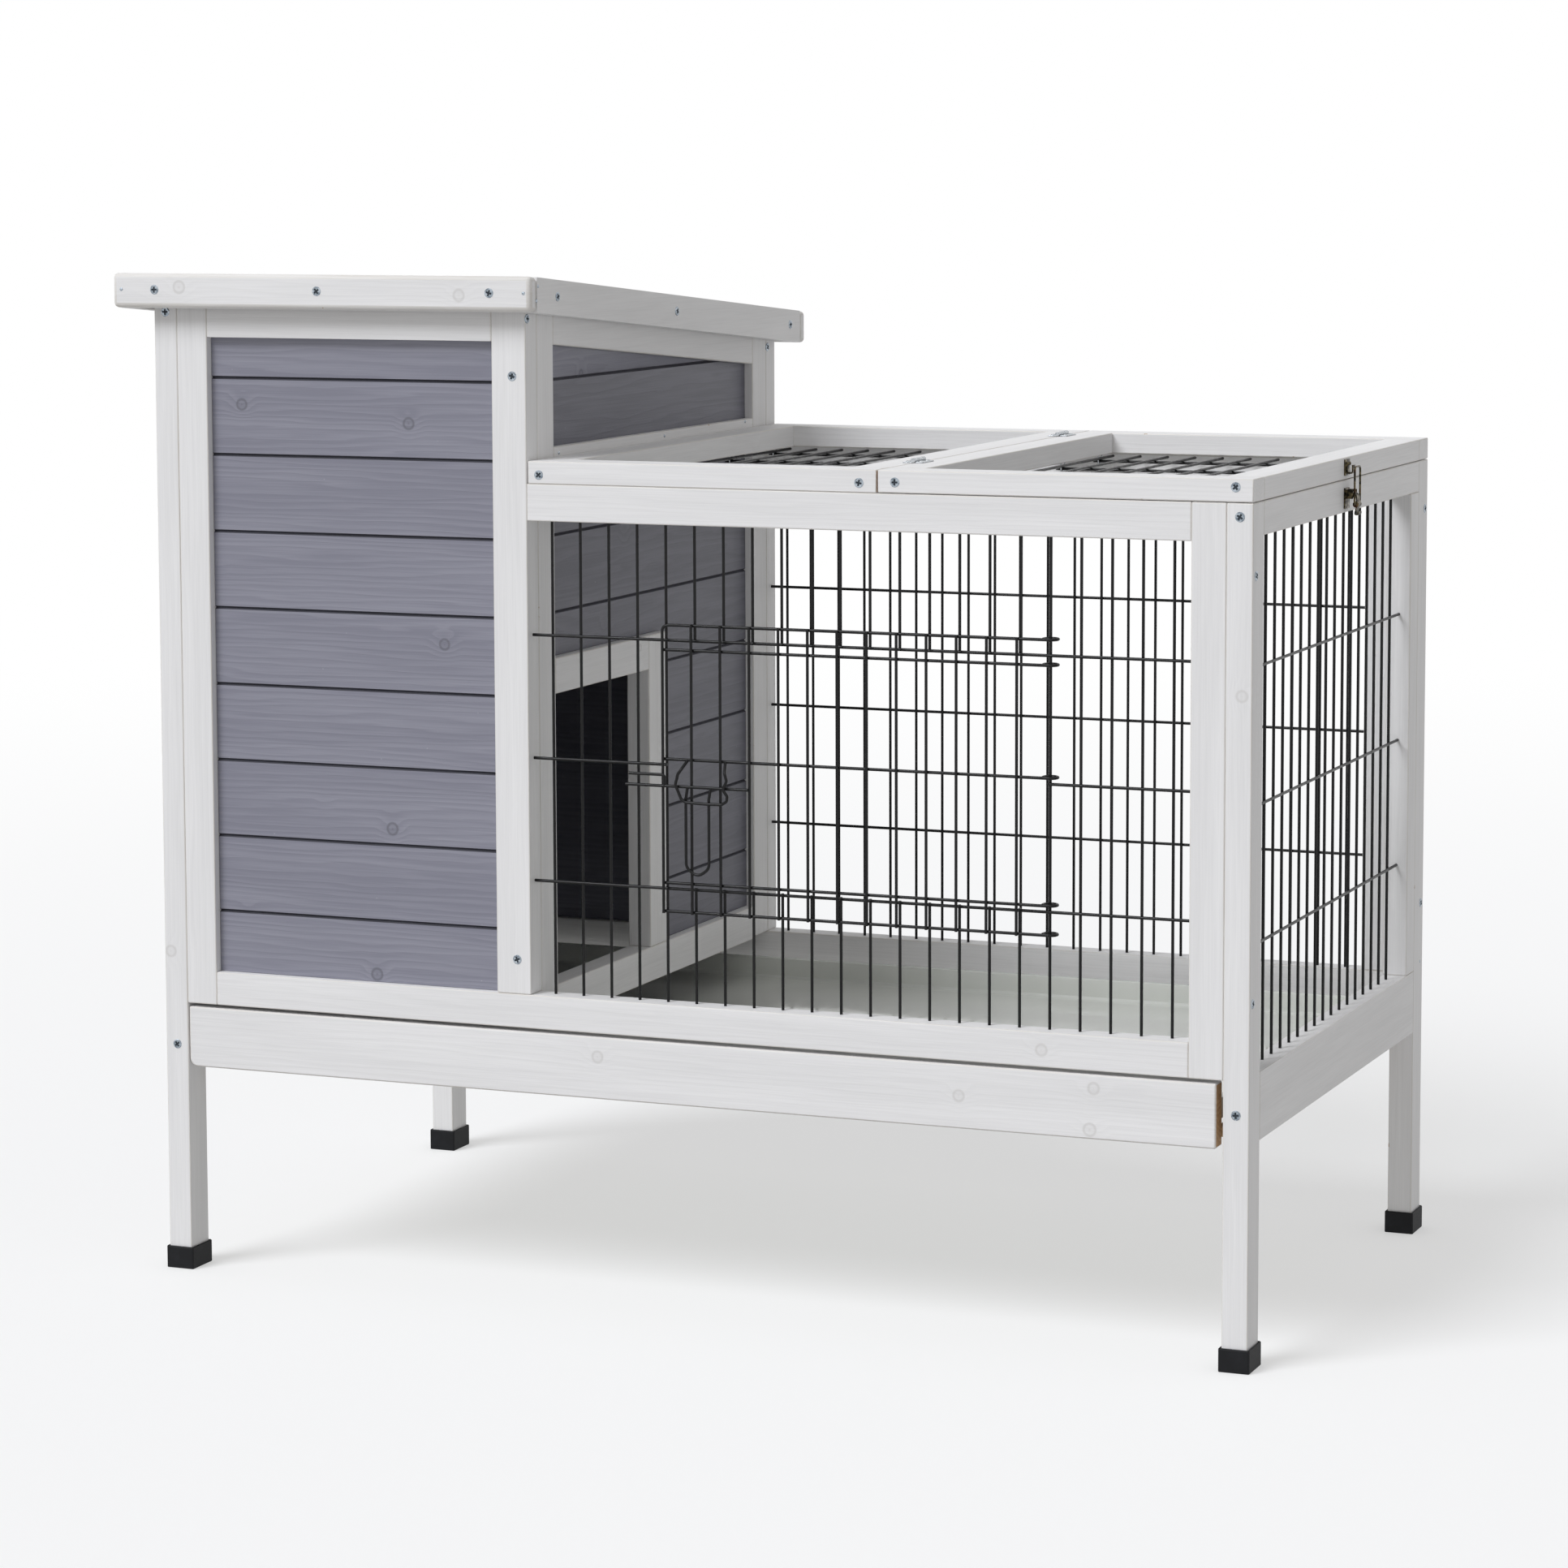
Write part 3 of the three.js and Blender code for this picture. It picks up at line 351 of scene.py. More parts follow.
# Matt studio paper that runs out into the white of the room.
def paleFloor():
    material, tree, shader = newMaterial("paleStudioPaper", Roughness=0.9)
    place = addNode(tree, "TexCoord").outputs["Object"]
    cloud = addNode(tree, "TexNoise", {}, {"Vector": place, "Scale": 0.8, "Detail": 2.0}).outputs[0]
    tree.links.new(mixed(tree, cloud, colour("f4f4f4"), colour("f7f7f7")), shader.inputs["Base Color"])
    away = addNode(tree, "VectorMath", {"operation": "LENGTH"}, {0: place}).outputs["Value"]
    white = addNode(tree, "Emission", {}, {"Strength": 1.0})
    fade = band(tree, away, room["fadeFrom"], room["fadeTo"], room["glow"], 1.0)
    both = addNode(tree, "MixShader", {}, {0: fade, 1: shader.outputs[0], 2: white.outputs[0]})
    tree.links.new(both.outputs[0], tree.nodes["Material Output"].inputs["Surface"])
    return material


wireBlack = blackPaintedWire()
rubberBlack = mouldedRubber()
feltGrey = mineralFelt()
trayGreen = mouldedTray()
brassAged = agedBrass()
zincScrew = zincPlate("zincPlatedScrewHead", "77828c", "b4bcc4")
grimeAndShadeDark = recessGrimeAndShade()
zincHinge = zincPlate("zincPlatedHingeSteel", "9ba0a4", "c9cccf")
print("materials made")


def place(piece, body, materials, slot, nodes=()):
    if piece.name not in scene.collection.objects:
        scene.collection.objects.link(piece)
    for material in materials:
        piece.data.materials.append(material)
    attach(piece, body)
    if nodes:
        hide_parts(*nodes)
        leftOver.difference_update(nodes)
    return piece


# A mesh in millimetres becomes a smooth piece in metres with its real corners kept.
def meshPiece(name, shape, sharp=40):
    bmesh.ops.scale(shape, vec=(mm, mm, mm), verts=shape.verts)
    bmesh.ops.recalc_face_normals(shape, faces=shape.faces)
    data = bpy.data.meshes.new(name)
    shape.to_mesh(data)
    shape.free()
    data.shade_smooth()
    data.set_sharp_from_angle(angle=math.radians(sharp))
    return bpy.data.objects.new(name, data)


def addBlock(shape, low, high, round=0.0, segments=2):
    low, high = Vector(low), Vector(high)
    stretch = Matrix.Translation((low + high) / 2) @ Matrix.Diagonal((*(high - low), 1.0))
    made = bmesh.ops.create_cube(shape, size=1.0, matrix=stretch)
    if round:
        edges = list({edge for vert in made["verts"] for edge in vert.link_edges})
        bmesh.ops.bevel(shape, geom=edges, offset=round, segments=segments, affect="EDGES", profile=0.5)
    return made


# Rings of points from one end to the other make a closed skin: used for turned and domed parts.
def addTurned(shape, profile, axisPoint, direction, sides=24):
    turn = Vector(direction).normalized().to_track_quat("Z", "Y").to_matrix()
    rings = []
    for radius, along in profile:
        count = 1 if radius == 0 else sides
        ring = []
        for step in range(count):
            angle = math.tau * step / sides
            local = Vector((radius * math.cos(angle), radius * math.sin(angle), along))
            ring.append(shape.verts.new(Vector(axisPoint) + turn @ local))
        rings.append(ring)
    for ring, following in zip(rings, rings[1:]):
        for step in range(sides):
            ahead = (step + 1) % sides
            corners = [ring[step % len(ring)], ring[ahead % len(ring)],
                       following[ahead % len(following)], following[step % len(following)]]
            corners = list(dict.fromkeys(corners))
            if len(corners) > 2:
                shape.faces.new(corners)
    for ring in (rings[0], rings[-1]):
        if len(ring) > 1:
            shape.faces.new(ring)


# Rings with the same number of points, joined into a skin and closed at both ends.
def addRings(shape, rings):
    made = [[shape.verts.new(point) for point in ring] for ring in rings]
    for ring, following in zip(made, made[1:]):
        for step in range(len(ring)):
            ahead = (step + 1) % len(ring)
            shape.faces.new((ring[step], ring[ahead], following[ahead], following[step]))
    shape.faces.new(reversed(made[0]))
    shape.faces.new(made[-1])


# A strip of plate bent along a route in the XZ plane, between two places along Y.
def addStrip(shape, route, ends, thick):
    route = [Vector((x, 0, z)) for x, z in route]
    rings = []
    for number, point in enumerate(route):
        before, after = route[max(number - 1, 0)], route[min(number + 1, len(route) - 1)]
        along = (after - before).normalized()
        out = Vector((along.z, 0, -along.x)) * thick / 2
        corners = [(point + out, ends[0]), (point + out, ends[1]),
                   (point - out, ends[1]), (point - out, ends[0])]
        rings.append([(corner.x, y, corner.z) for corner, y in corners])
    addRings(shape, rings)


# The route with an arc of the given radius at each corner.
def filleted(route, radius, steps=5):
    route = [Vector(point) for point in route]
    rounded = [route[0]]
    for before, corner, after in zip(route, route[1:], route[2:]):
        back, ahead = before - corner, after - corner
        half = back.angle(ahead) / 2
        reach = min(radius / math.tan(half), back.length * 0.49, ahead.length * 0.49)
        start, end = corner + back.normalized() * reach, corner + ahead.normalized() * reach
        for step in range(steps + 1):
            share = step / steps
            rounded.append((1 - share) ** 2 * start + 2 * share * (1 - share) * corner + share ** 2 * end)
    rounded.append(route[-1])
    return rounded


# One piece of round wire, or several of one gauge. Each route is a list of points.
def wirePiece(name, routes, gauge, body, material, slot, nodes=(), closed=()):
    data = bpy.data.curves.new(name, "CURVE")
    data.dimensions = "3D"
    data.bevel_depth = gauge / 2 * mm
    data.bevel_resolution = 2
    data.use_fill_caps = True
    for number, route in enumerate(routes):
        spline = data.splines.new("POLY")
        spline.points.add(len(route) - 1)
        for point, at in zip(spline.points, route):
            point.co = (*(Vector(at) * mm), 1.0)
        spline.use_cyclic_u = number in closed
        spline.use_smooth = True
    return place(bpy.data.objects.new(name, data), body, [material], slot, nodes)


# Sawn sticks have softly broken arrises; the broken edges carry the rubbed-through stain.
stick = {"arris": 0.9, "segments": 2}


def breakArrises(piece, width, weld=False):
    if weld:
        piece.modifiers.new("weld", "WELD").merge_threshold = 0.01 * mm
    bevel = piece.modifiers.new("arris", "BEVEL")
    bevel.width = width * mm
    bevel.segments = stick["segments"]
    bevel.limit_method = "ANGLE"
    bevel.angle_limit = math.radians(30)
    bevel.material = 1
    bevel.harden_normals = False


def finishNode(name, materials, arris=0.0):
    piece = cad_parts[name]
    piece.data.materials.clear()
    for material in materials:
        piece.data.materials.append(material)
    if arris:
        breakArrises(piece, arris, weld=True)
    leftOver.discard(name)


def woodNode(name, axis, look="white"):
    edge = wood("edge", axis) if look == "white" else wood(look, axis)
    finishNode(name, [wood(look, axis), edge], stick["arris"])


# The stain misses the sawn ends, which show the fir's own colour in the joints.
def woodStick(piece, axis, body, nodes, bareEnds=(), arris=None):
    breakArrises(piece, arris or stick["arris"])
    for face in piece.data.polygons:
        along = face.normal["xyz".index(axis)]
        if abs(along) > 0.95 and round(along) in bareEnds:
            face.material_index = 2
    looks = [wood("white", axis), wood("edge", axis), wood("bare", axis)]
    return place(piece, body, looks, "white_stained_wood", nodes)


# The part of a node between two planes across an axis, as a closed piece of its own. The planes lie
# a hair inside it, so that none falls on a face that the node already has.
kerf = 0.02


def sawn(name, node, cuts):
    shape = bmesh.new()
    shape.from_mesh(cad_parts[node].data)
    bmesh.ops.remove_doubles(shape, verts=shape.verts, dist=0.01 * mm)
    bmesh.ops.scale(shape, vec=(1 / mm,) * 3, verts=shape.verts)
    for axis, low, high in cuts:
        for at, keep in ((low, 1), (high, -1)):
            if at is None:
                continue
            normal = Vector([keep if letter == axis else 0 for letter in "xyz"])
            point = Vector([at + keep * kerf if letter == axis else 0 for letter in "xyz"])
            geometry = shape.verts[:] + shape.edges[:] + shape.faces[:]
            bmesh.ops.bisect_plane(shape, geom=geometry, plane_co=point, plane_no=normal, clear_inner=True)
            bmesh.ops.holes_fill(shape, edges=[edge for edge in shape.edges if edge.is_boundary], sides=0)
    bmesh.ops.dissolve_limit(shape, angle_limit=0.02, verts=shape.verts, edges=shape.edges)
    return meshPiece(name, shape)


view = {
    "at": (1404.8, -3482.3, 900.4), "yaw": 22.16, "pitch": 5.95, "roll": -0.18,
    "lens": 107.0, "shift": -0.1004,
}


def makeCamera():
    data = bpy.data.cameras.new("camera")
    data.lens = view["lens"]
    data.sensor_width = 36.0
    data.shift_y = view["shift"]
    data.clip_end = 50.0
    camera = bpy.data.objects.new("camera", data)
    camera.location = Vector(view["at"]) * mm
    turn = Matrix.Rotation(math.radians(view["yaw"]), 3, "Z")
    tilt = Matrix.Rotation(math.radians(90 - view["pitch"]), 3, "X")
    roll = Matrix.Rotation(math.radians(view["roll"]), 3, "Z")
    camera.rotation_euler = (turn @ tilt @ roll).to_euler()
    scene.collection.objects.link(camera)
    scene.camera = camera


# The key comes from the front left, a little cool. Its share is the brightness that it gives to a
# white face turned to it, and so are the room's light from above and from below.
lights = {
    "keyFromFrontLeft": {"towards": (-0.35, -0.62, 0.70), "share": 0.71, "tint": "f9fbff", "soft": 30},
}
room = {
    "fromAbove": 0.42, "fromBelow": 0.47, "seen": 1.0, "tint": "ffffff",
    "floorSize": 14, "fadeFrom": 0.9, "fadeTo": 4.5, "glow": 0.45,
}


def makeLight():
    for name, light in lights.items():
        data = bpy.data.lights.new(name, "SUN")
        data.energy = light["share"] * math.pi
        data.angle = math.radians(light["soft"])
        data.color = colour(light["tint"])[:3]
        lamp = bpy.data.objects.new(name, data)
        lamp.rotation_euler = Vector(light["towards"]).to_track_quat("Z", "Y").to_euler()
        scene.collection.objects.link(lamp)
    world = bpy.data.worlds.new("studio")
    world.use_nodes = True
    tree = world.node_tree
    filling = addNode(tree, "LightPath").outputs["Is Diffuse Ray"]
    towards = addNode(tree, "TexCoord").outputs["Generated"]
    height = addNode(tree, "SeparateXYZ", {}, {0: towards}).outputs["Z"]
    fill = band(tree, height, -0.08, 0.08, room["fromBelow"], room["fromAbove"])
    limits = {"Value": filling, "To Min": room["seen"], "To Max": fill}
    strength = addNode(tree, "MapRange", {}, limits).outputs["Result"]
    background = tree.nodes["Background"]
    background.inputs["Color"].default_value = colour(room["tint"])
    tree.links.new(strength, background.inputs["Strength"])
    scene.world = world
    scene.view_settings.view_transform = "Standard"


def makeFloor():
    shape = bmesh.new()
    bmesh.ops.create_grid(shape, x_segments=4, y_segments=4, size=room["floorSize"] / mm)
    floor = meshPiece("studioFloor", shape)
    scene.collection.objects.link(floor)
    floor.data.materials.append(paleFloor())
    floor.visible_diffuse = False  # the room's light from below stands for the floor's bounce


makeCamera()
makeLight()
makeFloor()
print("camera, light and floor made")


frameSticks = {
    "z": ["front_left_post", "back_left_post", "front_right_post", "back_right_post", "front_left_stile",
          "front_middle_stile", "front_right_stile", "back_left_stile", "back_middle_stile",
          "back_right_stile", "divider_front_stile", "divider_back_stile", "right_back_stile"],
    "x": ["front_bottom_rail", "run_front_top_rail", "house_front_top_rail", "back_bottom_board",
          "run_back_top_rail", "house_back_top_rail"],
    "y": ["left_bottom_board", "divider_bottom_rail", "divider_top_rail", "divider_middle_batten",
          "right_bottom_board", "right_top_rail"],
}


def whiteSticks():
    for axis, names in frameSticks.items():
        for name in names:
            woodNode(name, axis)
    for name in ("left_tray_runner", "right_tray_runner"):
        woodNode(name, "y", "bare")


# A ring of one node is sawn back into its sticks, each with its own grain.
def slicedSticks():
    low, high = box("house_left_boards")
    walls = [
        ("left_front_stile", "z", [("y", None, low.y)]),
        ("left_back_stile", "z", [("y", high.y, None)]),
        ("left_top_rail", "y", [("y", low.y, high.y)]),
    ]
    for name, axis, cuts in walls:
        slicedStick(name, "left_frame", cuts, axis)
    casing = box("doorway_frame")[1]
    doorway = {"stileWide": 35}
    stileFront = casing.y - doorway["stileWide"]
    slicedStick("doorway_stile", "doorway_frame", [("y", stileFront, None)], "z")
    slicedStick("doorway_header", "doorway_frame", [("y", None, stileFront)], "y")


def slicedStick(name, node, cuts, axis, body="hutch_frame"):
    piece = sawn(name, node, cuts)
    breakArrises(piece, stick["arris"])
    place(piece, body, [wood("white", axis), wood("edge", axis)], "white_stained_wood", [node])


roof = {"fasciaThick": 12, "corner": 3.5, "nailSpacing": 62, "nailIn": 9}


def roofPieces():
    low, high = box("roof_fascia")
    thick = roof["fasciaThick"]
    between = ("y", low.y + thick, high.y - thick)
    centreX = middle("roof_fascia").x
    boards = [
        ("roof_front_fascia", "x", [("y", None, low.y + thick)]),
        ("roof_back_fascia", "x", [("y", high.y - thick, None)]),
        ("roof_left_fascia", "y", [between, ("x", None, centreX)]),
        ("roof_right_fascia", "y", [between, ("x", centreX, None)]),
    ]
    for name, axis, cuts in boards:
        piece = sawn(name, "roof_fascia", cuts)
        breakArrises(piece, roof["corner"] if axis == "x" else stick["arris"])
        piece.modifiers["arris"].segments = 3
        place(piece, "roof", [wood("white", axis), wood("edge", axis)], "white_stained_wood", ["roof_fascia"])
    finishNode("roof_deck", [feltGrey, feltGrey], stick["arris"])


whiteSticks()
slicedSticks()
roofPieces()
print("sticks and roof made")


# Tongue-and-groove boards; the vees between them fall at the same heights on every wall.
boards = {"firstVee": 292.5, "pitch": 60.6, "vee": 1.8}


def boardCourses(node, axis, outward, names):
    low, high = box(node)
    cuts = [low.z - 1]
    height = boards["firstVee"]
    while height < high.z - 1:
        cuts.append(height)
        height += boards["pitch"]
    cuts.append(high.z + 1)
    for number, (bottom, top) in enumerate(zip(cuts, cuts[1:]), 1):
        piece = sawn(f"{names}_{number}", node, [("z", bottom, top)])
        # the divider's courses, all but the top one, take the painted shade
        darker = node == "divider_boards" and top < box("divider_middle_batten")[1].z + boards["pitch"]
        stains = [wood("shade" if darker else "grey", axis), wood("groove", axis)]
        place(piece, "hutch_frame", stains, "grey_stained_wood", [node])
        for face in piece.data.polygons:
            sloping = 0.3 < abs(face.normal.z) < 0.95 and face.normal.dot(Vector(outward)) > 0.2
            # the vees' sloping faces take the dark groove stain, partly painted shade
            face.material_index = 1 if sloping and face.area < boards["vee"] * 2 * mm else 0


boardCourses("house_front_boards", "x", (0, -1, 0), "house_front_board")
boardCourses("house_back_boards", "x", (0, 1, 0), "house_back_board")
boardCourses("house_left_boards", "y", (-1, 0, 0), "house_left_board")
boardCourses("divider_boards", "y", (1, 0, 0), "divider_board")
print("boards made")


mesh = {
    "gauge": 2.4, "pitch": 23.75, "weld": 0.2, "crosses": 3, "crossPitch": 95.5, "plainPitch": 102.8,
    "firstCross": 88.5, "firstPlain": 94.5, "topInset": 6, "inWood": 6,
}
crossBehind = mesh["gauge"] - mesh["weld"]
doorAt = {
    "firstWire": 4, "wiresRight": 5, "above": 12, "inside": 7, "midRise": 4.8, "insideLow": 5, "below": 17,
    "corner": 5, "loop": 4.4,
}


def wireLines(low, high):
    count = math.floor((high - low) / mesh["pitch"])
    first = (low + high - (count - 1) * mesh["pitch"]) / 2
    return [first + step * mesh["pitch"] for step in range(count)]


def straight(axis, ends, first, second):
    points = []
    for end in ends:
        point = [first, second]
        point.insert("xyz".index(axis), end)
        points.append(tuple(point))
    return points


frontLow, frontHigh = box("front_wire_panel")
lines = wireLines(frontLow.x, frontHigh.x)
doorLeft = lines[doorAt["firstWire"]]
hingeNumber = len(lines) - doorAt["wiresRight"]
hingeX = lines[hingeNumber]
uprightY = frontHigh.y - mesh["gauge"] / 2
crossY = uprightY - crossBehind
topCross = frontHigh.z - mesh["firstCross"]  # the highest cross wire hangs this far below the rail
crosses = [topCross - step * mesh["crossPitch"] for step in range(mesh["crosses"])]
topPlain = frontHigh.z - mesh["firstPlain"]  # and on the back and right meshes, which have no door to hold
plainCrosses = [topPlain - step * mesh["plainPitch"] for step in range(mesh["crosses"])]


def frontMesh():
    into = mesh["inWood"]
    low, high = frontLow.z - into, frontHigh.z + into
    half = mesh["gauge"] / 2
    routes = []
    for number, x in enumerate(lines):
        if doorAt["firstWire"] < number < hingeNumber:
            routes.append(straight("z", (low, crosses[2] + half), x, uprightY))
            routes.append(straight("z", (crosses[0] - half, high), x, uprightY))
        else:
            routes.append(straight("z", (low, high), x, uprightY))
    for z in (crosses[0], crosses[2]):
        routes.append(straight("x", (frontLow.x, frontHigh.x), crossY, z))
    routes.append(straight("x", (frontLow.x, doorLeft + half), crossY, crosses[1]))
    routes.append(straight("x", (hingeX - half, frontHigh.x), crossY, crosses[1]))
    wirePiece("front_mesh", routes, mesh["gauge"], "hutch_frame", wireBlack, "black_wire",
              ["front_wire_panel"])


def backMesh():
    low, high = box("back_wire_panel")
    y = low.y + mesh["gauge"] / 2
    into = mesh["inWood"]
    routes = [straight("z", (low.z - into, high.z + into), x, y) for x in wireLines(low.x, high.x)]
    routes += [straight("x", (low.x, high.x), y + crossBehind, z) for z in plainCrosses]
    wirePiece("back_mesh", routes, mesh["gauge"], "hutch_frame", wireBlack, "black_wire", ["back_wire_panel"])


def rightMesh():
    low, high = box("right_wire_panel")
    x = low.x + mesh["gauge"] / 2
    into = mesh["inWood"]
    routes = [straight("z", (low.z - into, high.z + into), x, y) for y in wireLines(low.y, high.y)]
    routes += [straight("y", (low.y, high.y), x + crossBehind, z) for z in plainCrosses]
    wirePiece("right_mesh", routes, mesh["gauge"], "hutch_frame", wireBlack, "black_wire",
              ["right_wire_panel"])


def topMesh(name, node, frameNode, body):
    low, high = box(node)
    half = mesh["gauge"] / 2
    z = high.z - half
    inset = mesh["topInset"]
    frameLow, frameHigh = box(frameNode)
    right = min(frameHigh.x, box("right_top_rail")[0].x)
    long = wireLines(frameLow.x + inset, right - inset)
    steps = math.floor((high.y - low.y) / 2 / mesh["crossPitch"])
    routes = [straight("y", (low.y, high.y), x, z) for x in long]
    for step in range(-steps, steps + 1):
        y = middle(node).y + step * mesh["crossPitch"]
        routes.append(straight("x", (low.x, high.x), y, z - crossBehind))
    wirePiece(name, routes, mesh["gauge"], body, wireBlack, "black_wire", [node])


frontMesh()
backMesh()
rightMesh()
topMesh("fixed_top_mesh", "fixed_top_wire", "fixed_top_frame", "hutch_frame")
topMesh("lid_mesh", "lid_wire", "lid_frame", "lid")
print("mesh made")


loopLine = doorAt["loop"] + mesh["gauge"] / 2
doorBarY = uprightY - loopLine
doorUprightY = doorBarY - crossBehind
doorBars = [crosses[0] + doorAt["above"], crosses[0] - doorAt["inside"], crosses[1] + doorAt["midRise"],
            crosses[2] + doorAt["insideLow"], crosses[2] - doorAt["below"]]


# A bar of the door: from its left end to the hinge wire, once around it and back along itself.
def doorBar(z, left):
    arc = []
    for step in range(15):
        angle = math.radians(-90 + step * 300 / 14)
        arc.append((hingeX + loopLine * math.cos(angle), uprightY + loopLine * math.sin(angle), z))
    return [(left, doorBarY, z), *arc]


bolt = {
    "drop": 20, "reach": 30, "length": 101, "prongGap": 8.5, "prongReach": 27, "pullWide": 19, "pullHigh": 69,
    "pullFrom": 50, "play": 0.4, "lean": 1.6,
}
boltZ = doorBars[2] - bolt["drop"]
boltY = doorUprightY - mesh["gauge"] - bolt["play"]
keeperY = boltY - mesh["gauge"] - bolt["play"]
# The keeper's outline from the middle bar round to the middle bar again: along the door from its
# left edge wire, and up from the bolt.
keeperOutline = [
    (20.0, 20.0), (17.4, 13.4), (14.8, 9.9), (12.6, 1.8), (17.4, -9.2), (21.0, -11.4), (38.6, -12.0),
    (50.7, -11.8), (54.9, -9.2), (55.4, -5.3), (51.7, -0.4), (54.9, 6.3), (53.2, 12.2), (50.8, 20.0),
]


def doorPieces():
    corner = doorAt["corner"]
    top, bottom = doorBars[0], doorBars[4]
    half = mesh["gauge"] / 2
    routes = []
    edge = [(doorLeft, doorUprightY, bottom - half), (doorLeft, doorUprightY, top),
            (doorLeft + 3 * corner, doorBarY, top), (hingeX - 3 * corner, doorBarY, top)]
    routes.append(filleted(edge, corner) + doorBar(top, hingeX - 2 * corner))
    for z in doorBars[1:]:
        routes.append(doorBar(z, doorLeft - half))
    for x in lines[doorAt["firstWire"] + 1:hingeNumber]:
        routes.append(straight("z", (bottom - half, top + half), x, doorUprightY))
    outline = [(doorLeft + along, keeperY, boltZ + up) for along, up in keeperOutline]
    outline[0] = (outline[0][0], doorBarY, doorBars[2])
    outline[-1] = (outline[-1][0], doorBarY, doorBars[2])
    routes.append(filleted(outline, 3.0, 4))
    wirePiece("wire_door_panel", routes, mesh["gauge"], "wire_door", wireBlack, "black_wire", ["wire_door"])


# The bolt is one wire bent double at its blunt end, with a prong above and a pull hanging below.
def boltPiece():
    tip = doorLeft - bolt["reach"]
    prong = doorLeft - bolt["prongReach"]
    bend = doorLeft + mesh["gauge"]
    end = tip + bolt["length"]
    pull = tip + bolt["pullFrom"]
    low = boltZ - bolt["pullHigh"]
    wide, lean = bolt["pullWide"], bolt["lean"]
    routes = [
        [(tip, boltY, boltZ), (end, boltY, boltZ)],
        filleted([(prong, boltY, boltZ + bolt["prongGap"]), (bend, boltY, boltZ + bolt["prongGap"]),
                  (bend, boltY, boltZ)], 2.5),
        filleted([(pull + lean, boltY, boltZ), (pull, boltY, boltZ - 9), (pull, boltY, low + 7),
                  (pull + wide / 2, boltY, low), (pull + wide, boltY, low + 7),
                  (pull + wide, boltY, boltZ - 9),
                  (pull + wide + lean, boltY, boltZ)], 8),
    ]
    wirePiece("door_bolt_wire", routes, mesh["gauge"], "door_bolt", wireBlack, "black_wire", ["door_bolt"])


doorPieces()
boltPiece()
print("door and bolt made")


top = {"stickWide": 28}


def topFrame(node, names, body, seam):
    low, high = box(node)
    wide = top["stickWide"]
    sticks = [
        (names + "_front_stick", (low.x, low.y, low.z), (high.x, low.y + wide, high.z), "x"),
        (names + "_back_stick", (low.x, high.y - wide, low.z), (high.x, high.y, high.z), "x"),
        (names + "_left_stick", (low.x, low.y + wide, low.z), (low.x + wide, high.y - wide, high.z), "y"),
        (names + "_right_stick", (high.x - wide, low.y + wide, low.z), (high.x, high.y - wide, high.z), "y"),
    ]
    for name, lowest, highest, axis in sticks:
        shape = bmesh.new()
        addBlock(shape, lowest, highest)
        woodStick(meshPiece(name, shape), axis, body, [node], (seam,) if axis == "x" else ())


topFrame("fixed_top_frame", "fixed_top", "hutch_frame", 1)
topFrame("lid_frame", "lid", "lid", -1)


hinge = {"pinX": 167.5, "pinZ": 659.4, "knuckle": 1.9, "leaf": 1.0, "knuckles": 5}


# Half of a small butt hinge: a leaf with round corners, its share of the knuckles and two screws.
def hingeHalf(name, node, body, side, knuckles):
    low, high = box(node)
    shape = bmesh.new()
    outer = low.x if side < 0 else high.x
    inner = hinge["pinX"] + side * (hinge["knuckle"] + 0.4)
    x0, x1 = sorted((outer, inner))
    addBlock(shape, (x0, low.y, low.z), (x1, high.y, low.z + hinge["leaf"]), 0.35)
    step = (high.y - low.y) / hinge["knuckles"]
    radius = hinge["knuckle"]
    axis = (hinge["pinX"], 0, hinge["pinZ"])
    for number in knuckles:
        start, stop = low.y + number * step + 0.2, low.y + (number + 1) * step - 0.2
        profile = [(radius * 0.85, start), (radius, start + 0.3), (radius, stop - 0.3), (radius * 0.85, stop)]
        addTurned(shape, profile, (axis[0], 0, axis[2]), (0, 1, 0), 16)
        nearX, farX = sorted((hinge["pinX"] + side * 0.5, inner + side * 0.5))
        addBlock(shape, (nearX, start, low.z), (farX, stop, low.z + hinge["leaf"]), 0.2)
    for share in (0.22, 0.78):
        y = low.y + share * (high.y - low.y)
        x = (outer + inner) / 2
        head = [(0, 1.15), (1.3, 1.0), (2.0, 0.6), (2.1, 0.2), (2.1, 0)]
        addTurned(shape, head, (x, y, low.z + hinge["leaf"] - 0.35), (0, 0, 1), 16)
    place(meshPiece(name, shape), body, [zincHinge], "zinc_plate", [node])


for end in ("front", "back"):
    hingeHalf(end + "_hinge_fixed_half", end + "_hinge_fixed_leaf", "hutch_frame", -1, (0, 2, 4))
    hingeHalf(end + "_hinge_lid_half", end + "_hinge_lid_leaf", "lid", 1, (1, 3))
for end in ("front_left", "front_right", "back_left", "back_right"):
    finishNode(end + "_foot_cap", [rubberBlack, rubberBlack], 1.1)
finishNode("roof_hinge_wall_leaf", [zincHinge])
finishNode("roof_hinge_roof_leaf", [zincHinge])
print("hinges and feet made")


# The drawer board has one worn corner at its lower left, and bare ends.
drawer = {"wornCorner": 7.0, "corner": 1.5, "cornerSteps": 6, "arris": 1.2}


